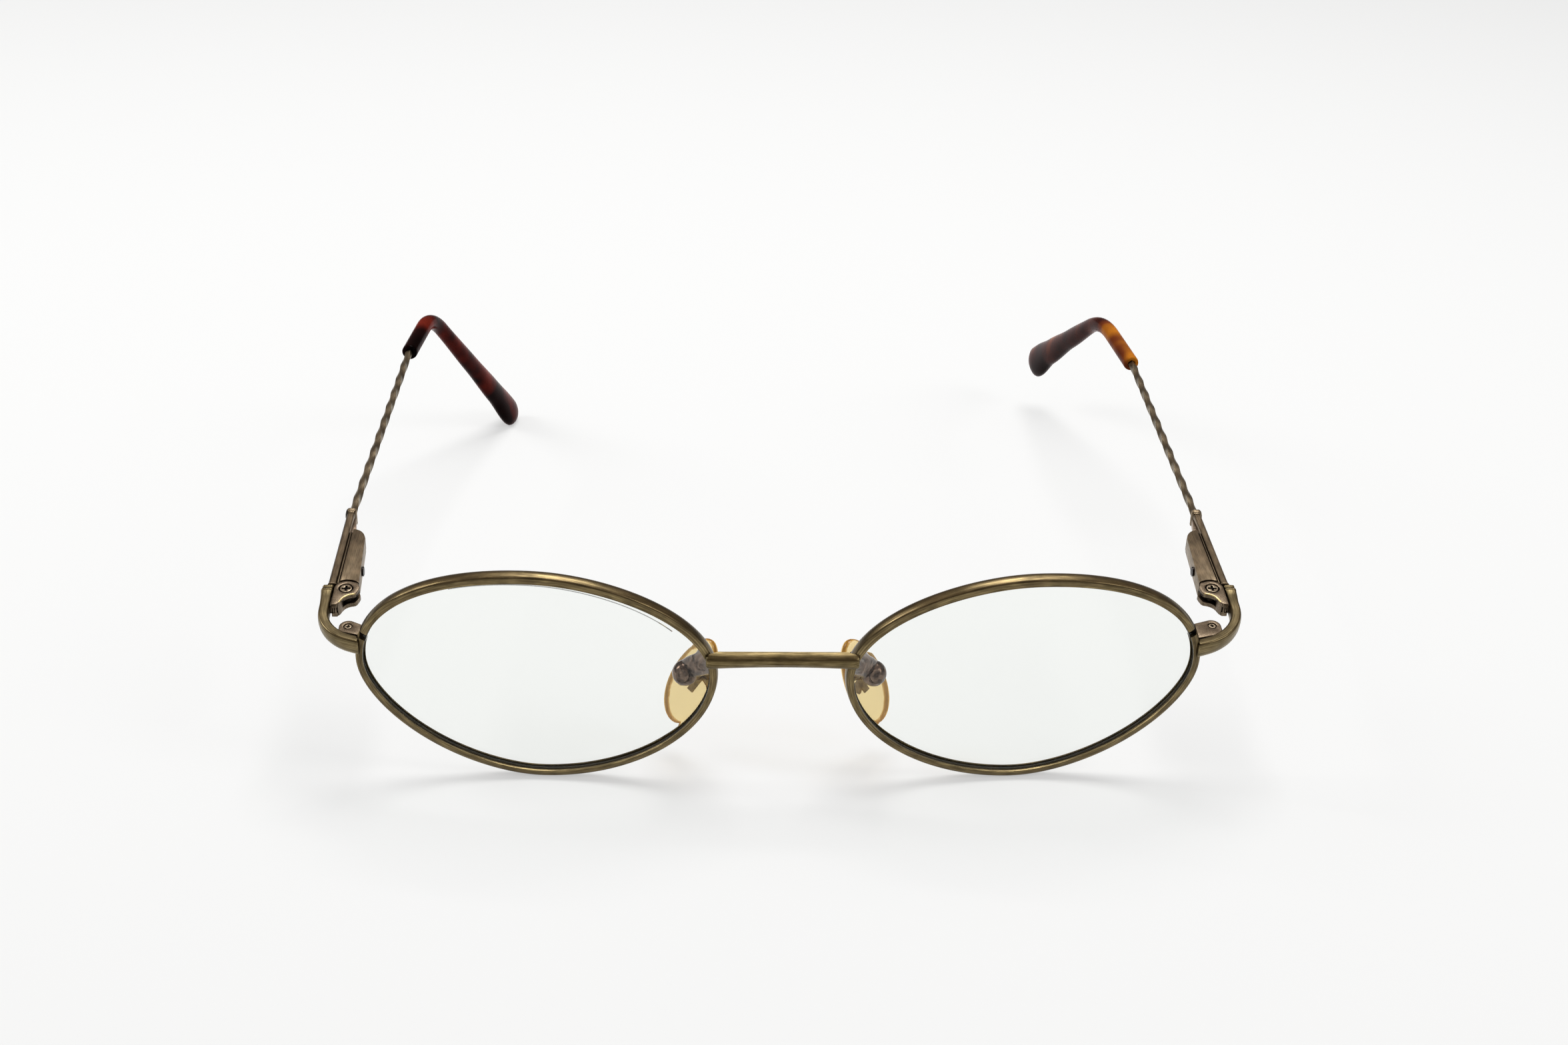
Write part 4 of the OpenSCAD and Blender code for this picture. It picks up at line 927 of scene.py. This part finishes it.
def buildHousing(side):
    f = housingForm
    name = sideNames[side]
    bm = bmesh.new()
    h = f["height"] / 2
    wide, deep = f["out"] + f["inBack"], f["length"] - f["straight"]
    curve = [(f["out"] - wide * cos(a), f["straight"] + deep * sin(a))
             for a in (radians(7.5 * i) for i in range(13))]
    inner = -f["inFront"]
    reach = [atan2((f["cut"] ** 2 - x * x) ** 0.5, x) for x in (f["out"], inner)]
    turns = [reach[0] + (reach[1] - reach[0]) * i / 14 for i in range(15)]
    mouth = [(f["cut"] * cos(a), f["cut"] * sin(a)) for a in turns]
    shape = [(f["out"], mouth[0][1])] + mouth[1:-1] + [(inner, mouth[-1][1])] + curve
    prism(bm, shape, -h, h, f["bevel"], 3)
    # slot for the slider's neck, then the wider room for its spring
    for axis, place in product(((1, 0, 0), (0, 0, 1)), (f["slot"], -f["slot"])):
        point = Vector(axis) * place
        near = [g for g in [*bm.faces, *bm.edges, *bm.verts] if middleOf(g).y < f["cut"] + 0.05
                and not (isinstance(g, BMFace) and abs(g.normal.z) >= 0.5)]
        bmesh.ops.bisect_plane(bm, geom=near, plane_co=point, plane_no=axis)
    bm.faces.ensure_lookup_table()
    mouthFaces = [g for g in bm.faces if g.normal.y < -0.5 and middleOf(g).y < f["cut"] + 0.02
                  and abs(middleOf(g).x) < f["slot"] and abs(middleOf(g).z) < f["slot"]]
    for push, grow in ((f["slotDepth"], 1), (0.02, f["chamber"] / f["slot"]), (f["chamberDepth"], 1)):
        made = bmesh.ops.extrude_face_region(bm, geom=mouthFaces)["geom"]
        bmesh.ops.delete(bm, geom=mouthFaces, context="FACES")
        verts, mouthFaces = only(made, BMVert), only(made, BMFace)
        bmesh.ops.translate(bm, verts=verts, vec=(0, push, 0))
        bmesh.ops.scale(bm, verts=verts, vec=(grow, 1, grow))
    start, stop = f["start"] + 0.1, f["length"] - 0.3
    low, high = f["groove"] - h, h - f["groove"]
    prism(bm, rectangle((f["out"] - 0.1, f["foot"]), (start, stop)), low, high, 0.05, 1)
    prism(bm, rectangle(f["ridge"], (start, stop)), 0.1 - h, h - 0.1, 0.06)
    straight = straightLayer(bm)
    for v in bm.verts:
        v[straight] = (v.co.y, v.co.x, v.co.z)
    addPiece(name + "SpringHousing", bm, templePlace(side), [barBrass], name + "_temple",
             [name + "_spring_housing"], sharp=20)


barForm = {
    "width": 1.3, "height": 2.1, "collar": 1.3, "seam": 1.1,
    # soldered tongue, from the housing's foot and end: in and back, then its levels
    "tongue": [(0.1, -0.4), (-0.85, -0.4), (-0.85, 0.1), (-0.2, 5), (0.1, 5)], "tongueLevels": (-0.9, 0.2),
    "seamBead": [(0, 1.0), (0.04, 1.09), (0.14, 1.13), (0.24, 1.11), (0.3, 1.0)],  # place, swell
    "section": [(-0.5, -0.4), (-0.47, -0.47), (-0.38, -0.5), (0.0, -0.5), (0.16, -0.47), (0.3, -0.39),
                (0.41, -0.28), (0.48, -0.14), (0.5, 0.0), (0.48, 0.14), (0.43, 0.28), (0.36, 0.39),
                (0.27, 0.465), (0.17, 0.5), (0.08, 0.5), (-0.3, 0.5), (-0.38, 0.49), (-0.46, 0.46),
                (-0.5, 0.4)],
    # place along the collar from its middle, and the swell there
    "collarShape": [(-0.5, 1.0), (-0.49, 1.1), (-0.4, 1.13), (-0.32, 1.14), (-0.31, 1.22), (-0.22, 1.28),
                    (-0.14, 1.3), (-0.12, 1.33), (-0.05, 1.36), (0.05, 1.36), (0.12, 1.33), (0.14, 1.3),
                    (0.22, 1.28), (0.31, 1.22), (0.32, 1.14), (0.4, 1.13), (0.49, 1.08), (0.5, 0.7)],
}


def buildBar(side):
    f = barForm
    name = sideNames[side]
    bar = templeForm["bar"]
    steps = [(f["seam"] + d, grow) for d, grow in f["seamBead"]]
    steps += [(f["seam"] + 0.3 + (bar - f["seam"] - 1) * i / 12, 1.0) for i in range(1, 12)]
    steps += [(bar + f["collar"] * k, g) for k, g in f["collarShape"]]
    middle = templeForm["barOffset"]
    stations = [(Vector((middle, y, 0)), Vector((1, 0, 0)), Vector((0, 0, 1)), y) for y, _ in steps]

    def section(i):
        wide, tall = f["width"] * steps[i][1], f["height"] * steps[i][1]
        return [(x * wide, y * tall) for x, y in f["section"]]

    bm = bmesh.new()
    sweep(bm, stations, section)
    addPiece(name + "TempleBar", bm, templePlace(side), [(leftBarBrassShaded, barBrass)[side]], name + "_temple",
             [name + "_temple_bar"], sharp=45)
    bm = bmesh.new()
    foot, end = housingForm["foot"], housingForm["length"]
    prism(bm, [(foot + x, end + y) for x, y in f["tongue"]], *f["tongueLevels"], 0.08)
    addPiece(name + "HousingTongue", bm, templePlace(side), [tongueBrass], name + "_temple", [])


wireForm = {"flat": 1.0, "pitch": 20.8, "squareness": 8, "sides": 24}


def buildWire(side):
    f = wireForm
    name = sideNames[side]
    parts, bendSide = templePath(side)
    runs = [s for s in parts[0] if s[2] > barForm["collar"] / 2 - 0.1] + parts[1][1:] + parts[2][:3]
    stations = [stationAt(p, way, run, bendSide) for p, way, run in runs]

    def section(i):
        twist, q = 2 * pi * runs[i][2] / f["pitch"], f["squareness"]
        points = []
        for a in aroundTurn(f["sides"]):
            r = f["flat"] / 2 * (abs(cos(a)) ** q + abs(sin(a)) ** q) ** (-1 / q)
            points.append((r * sin(twist - a), r * cos(twist - a)))
        return points

    bm = bmesh.new()
    sweep(bm, stations, section)
    addPiece(name + "TwistedWire", bm, sidePlace(side), [wireBrass], name + "_temple",
             [name + "_temple_wire"])


tipForm = {
    "roundFrom": 0.92, "roundness": 2.6, "sides": 36,
    # share of the sleeve's run, and there the height, how much of it is on the table side, and the width
    "heights": [(0, 2.7), (0.35, 2.7), (0.6, 3.8), (0.8, 5.1), (0.92, 6.5), (1, 6.6)],
    "low": [(0, 1.35), (0.35, 1.35), (0.6, 1.8), (0.8, 2.3), (0.92, 2.7), (1, 2.65)],
    "widths": [(0, 2.7), (0.4, 2.6), (0.85, 3.0), (1, 3.2)],
    # the mouth, where the wire goes in: place and diameter
    "mouth": [(0.3, 1.25), (0.03, 1.45), (0.0, 2.1), (0.06, 2.38), (0.18, 2.56), (0.4, 2.68)],
}


def smoothTable(table, place):
    for (a, va), (b, vb) in zip(table, table[1:]):
        if place <= b:
            t = (place - a) / (b - a)
            return va + (vb - va) * (t * t * (3 - 2 * t))
    return table[-1][1]


def buildTip(side):
    f = tipForm
    name = sideNames[side]
    parts, bendSide = templePath(side)
    path = parts[2] + parts[3][1:] + parts[4][1:]
    start, length = path[0][2], path[-1][2] - path[0][2]
    extra = [(path[-1][0] - path[-1][1] * d, path[-1][1], path[-1][2] - d) for d in (0.35, 0.15, 0.04)]
    path = path[:-1] + extra + path[-1:]
    mouth = [(path[0][0] + path[0][1] * d, path[0][1], start + d, size) for d, size in f["mouth"]]
    body = [s + (None,) for s in path if s[2] > start + 0.6]
    rows = mouth + body
    stations = [stationAt(p, way, run - start, bendSide) for p, way, run, _ in rows]

    def section(i):
        run, size = rows[i][2], rows[i][3]
        k = (run - start) / length
        tall, wide = (size, size) if size else (smoothTable(f["heights"], k), smoothTable(f["widths"], k))
        if k > f["roundFrom"]:
            t = (k - f["roundFrom"]) / (1 - f["roundFrom"])
            r = max(0.02, 1 - t ** f["roundness"]) ** (1 / f["roundness"])
            tall, wide = tall * r, wide * r ** 0.8
        raised = tall / 2 - min(tall / 2, smoothTable(f["low"], k))
        return [(wide / 2 * sin(a), raised + tall / 2 * cos(a)) for a in aroundTurn(f["sides"])]

    bm = bmesh.new()
    sweep(bm, stations, section)
    addPiece(name + "TempleTip", bm, sidePlace(side), [(leftTortoise, rightTortoise)[side]],
             name + "_temple", [name + "_temple_tip"], sharp=60)


for side in (left, right):
    buildHousing(side)
    buildBar(side)
    buildWire(side)
    buildTip(side)
print("temples built")

# Nose pads

padForm = {
    "box": (13.65, 7.1, -4.7), "splay": radians(50), "flare": radians(22),
    "length": 15.6, "width": 7.2, "thickness": 2.2, "hang": 2.7, "back": 0.5, "face": 2.35, "narrowing": 0.12,
    # size and depth of the pad's rings as shares, front face first
    "rings": [(0.02, 0.02), (0.3, 0.02), (0.6, 0.015), (0.82, 0.0), (0.9, 0.02), (0.955, 0.08), (0.985, 0.18),
              (1, 0.34), (0.995, 0.5), (0.97, 0.66), (0.92, 0.79), (0.83, 0.89), (0.68, 0.955), (0.45, 0.99),
              (0.2, 1.0), (0.02, 1.0)],
    "sides": 56,
}


def padPlace(side):
    return (frontPlace(side) @ Matrix.Translation(padForm["box"]) @ Matrix.Rotation(-padForm["flare"], 4, "Y")
            @ Matrix.Rotation(padForm["splay"], 4, "Z"))


def buildPad(side):
    f = padForm
    name = sideNames[side]
    bm = bmesh.new()
    straight = straightLayer(bm)
    ring = bmesh.ops.create_circle(bm, segments=f["sides"], radius=1)["verts"]
    first = list(ring)
    for i, (size, depth) in enumerate(f["rings"]):
        if i:
            ring, _ = nextRing(bm, ring)
        for v, a in zip(ring, aroundTurn(f["sides"])):
            x = f["width"] / 2 * (1 - f["narrowing"] * sin(a)) * cos(a)
            z = f["length"] / 2 * sin(a)
            v.co = (f["back"] + x * size, f["face"] + f["thickness"] * depth, -f["hang"] + z * size)
            v[straight] = ((1 - size) * Vector((x, z)).length, depth, 0)  # in from the outline
    closeRing(bm, first)
    closeRing(bm, ring)
    addPiece(name + "NosePadVinyl", bm, padPlace(side), [padAmber], name + "_pad",
             [name + "_nose_pad"])


boxForm = {
    "radius": 1.9, "lift": 0.35, "rootLevel": 1.9, "rootBack": 0.25, "behind": 0.7,
    # share of the way from the box to the rim, half height, half depth
    "neck": [(0, 1.45, 1.0), (0.25, 1.66, 1.0), (0.5, 1.68, 0.9), (0.75, 1.45, 0.75), (0.96, 1.15, 0.6)],
    "plate": [(-1.13, -3.19), (-1.94, 2.09), (-0.83, 1.95), (-0.01, -3.33)], "plateDepth": (2.05, 2.33),
    # from the ball to the plate
    "tongue": [(-0.5, 0), (0.4, 0), (-0.63, 2.2), (-1.33, 2.2)], "tongueHalf": 0.45,
}


def buildPadBox(side):
    f = boxForm
    name = sideNames[side]
    ball = Vector(padForm["box"]) + Vector((0, 0, f["lift"]))
    # the rim's back at the level where the arm is soldered
    seat = rimSideAt(f["rootLevel"], rimForm["thickness"] * 0.6, outside=False)
    seat.y += rimForm["halfDepth"] + f["rootBack"]
    bm = bmesh.new()
    way = (seat - ball).normalized()
    across = way.cross(Vector((0, 0, 1))).normalized()
    up = across.cross(way)
    rows = f["neck"][:1]
    for near, far in zip(f["neck"], f["neck"][1:]):
        rows += [tuple(a + (b - a) * k for a, b in zip(near, far)) for k in (0.5, 1)]
    stations = [(ball.lerp(seat, share) + Vector((0, f["behind"] * (1 - share), 0)), across, up, share)
                for share, _, _ in rows]
    sweep(bm, stations, lambda i: [(rows[i][2] * cos(a), rows[i][1] * sin(a)) for a in aroundTurn(32)])
    bmesh.ops.create_uvsphere(bm, u_segments=48, v_segments=32, radius=f["radius"],
                              matrix=Matrix.Translation(ball))
    addPiece(name + "PadBoxArm", bm, frontPlace(side), [boxNickel], "front", [name + "_pad_arm"])
    bm = bmesh.new()
    low, high = f["plateDepth"]
    prism(bm, [(x, -z) for x, z in f["plate"]], low, high, 0.06)
    bmesh.ops.rotate(bm, verts=bm.verts, cent=(0, 0, 0), matrix=Matrix.Rotation(radians(-90), 3, "X"))
    prism(bm, f["tongue"], -f["tongueHalf"], f["tongueHalf"], 0.06)
    addPiece(name + "PadMountPlate", bm, padPlace(side), [plateBrass], name + "_pad",
             [name + "_pad_mount"])


for side in (left, right):
    buildPad(side)
    buildPadBox(side)
    dressNode(sideNames[side] + "_pad_pin", screwSteel)
print("nose pads built")

# Floor, light and camera

stageLook = {
    "floor": "#b0b0af", "backdrop": "#f8f8f8",
    "cameraLift": 0.455,  # added to the floor where it is looked at, so that it reads white
    "room": 0.42,  # grey of the room for plain light
    # what gloss mirrors, level with the table and straight above
    "gloss": (0.16, 0.5), "glossTint": "#f6e7dd",
    # place in m, size in m, power in W; each lamp looks at the object's foot
    "lamps": {
        "softboxAbove": ((0.05, 0.22, 0.75), (0.45, 0.35), 3.6),
        "softboxLeft": ((-0.7, 0.1, 0.5), (0.3, 0.35), 1.9),
        "softboxRight": ((0.6, -0.3, 0.5), (0.25, 0.3), 1.1),
    },
}


def buildFloor():
    bm = bmesh.new()
    bmesh.ops.create_grid(bm, x_segments=1, y_segments=1, size=2.5)
    mesh = bpy.data.meshes.new("tableTop")
    bm.to_mesh(mesh)
    bm.free()
    floor = bpy.data.objects.new("tableTop", mesh)
    bpy.context.scene.collection.objects.link(floor)
    material, tree = newMaterial("paperWhiteMatt")
    path = addNode(tree, "LightPath")
    seen = path.outputs["Is Camera Ray"]
    for ray in ("Is Glossy Ray", "Is Transmission Ray"):
        seen = addNode(tree, "Math", {0: seen, 1: path.outputs[ray]}, operation="MAXIMUM").outputs["Value"]
    lift = addNode(tree, "Math", {0: seen, 1: stageLook["cameraLift"]}, operation="MULTIPLY").outputs["Value"]
    matt = addNode(tree, "BsdfDiffuse", {"Color": linear(stageLook["floor"])}).outputs["BSDF"]
    glow = addNode(tree, "Emission", {"Color": linear("#ffffff"), "Strength": lift}).outputs["Emission"]
    finishMaterial(tree, addNode(tree, "AddShader", {0: matt, 1: glow}).outputs["Shader"])
    mesh.materials.append(material)


def buildWorld():
    world = bpy.data.worlds.new("studioRoom")
    bpy.context.scene.world = world
    world.use_nodes = True
    tree = world.node_tree
    tree.nodes.clear()
    path = addNode(tree, "LightPath")
    sky = addNode(tree, "TexCoord").outputs["Generated"]
    height = addNode(tree, "SeparateXYZ", {"Vector": sky}).outputs["Z"]
    level, above = stageLook["gloss"]
    shine = addNode(tree, "MapRange", {"Value": height, "From Min": 0.05, "From Max": 0.95,
                                       "To Min": level, "To Max": above}).outputs["Result"]
    room, white, gloss = [
        addNode(tree, "Background", {"Color": linear(code), "Strength": strength}).outputs["Background"]
        for code, strength in (("#ffffff", stageLook["room"]), (stageLook["backdrop"], 1.0),
                               (stageLook["glossTint"], shine))]
    seen = addNode(tree, "Math", {0: path.outputs["Is Camera Ray"], 1: path.outputs["Is Transmission Ray"]},
                   operation="MAXIMUM").outputs["Value"]
    shiny = path.outputs["Is Glossy Ray"]
    plain = addNode(tree, "MixShader", {0: shiny, 1: room, 2: gloss}).outputs["Shader"]
    mixed = addNode(tree, "MixShader", {0: seen, 1: plain, 2: white}).outputs["Shader"]
    addNode(tree, "OutputWorld", {"Surface": mixed})


def addLamp(name, place, size, watts):
    lamp = bpy.data.lights.new(name, "AREA")
    lamp.shape = "RECTANGLE"
    lamp.size, lamp.size_y = size
    lamp.energy = watts
    holder = bpy.data.objects.new(name, lamp)
    holder.location = place
    holder.rotation_euler = (-Vector(place)).to_track_quat("-Z", "Y").to_euler()
    bpy.context.scene.collection.objects.link(holder)


buildFloor()
buildWorld()
for name, (place, size, watts) in stageLook["lamps"].items():
    addLamp(name, place, size, watts)

cameraForm = {
    "place": (-14.9817, -339.3528, 174.7290),  # mm
    "yaw": 0.0522, "pitch": 0.4552, "roll": 0.0292,
    "focal": 3300, "width": 2352,  # both in pixels of the photograph
    "sensor": 36,
}


def buildCamera():
    f = cameraForm
    way = Vector((sin(f["yaw"]) * cos(f["pitch"]), cos(f["yaw"]) * cos(f["pitch"]), -sin(f["pitch"])))
    side = Vector((cos(f["yaw"]), -sin(f["yaw"]), 0))
    up = side.cross(way)
    c, s = cos(f["roll"]), sin(f["roll"])
    side, up = side * c + up * s, up * c - side * s
    data = bpy.data.cameras.new("viewer")
    data.sensor_fit = "HORIZONTAL"
    data.sensor_width = f["sensor"]
    data.lens = f["sensor"] * f["focal"] / f["width"]
    data.clip_start, data.clip_end = 0.01, 20
    camera = bpy.data.objects.new("viewer", data)
    turn = Matrix((side, up, -way)).transposed().to_4x4()
    camera.matrix_world = Matrix.Translation(Vector(f["place"]) * mm) @ turn
    bpy.context.scene.collection.objects.link(camera)
    bpy.context.scene.camera = camera


buildCamera()
bpy.context.scene.view_settings.view_transform = "Standard"
print("stage ready")
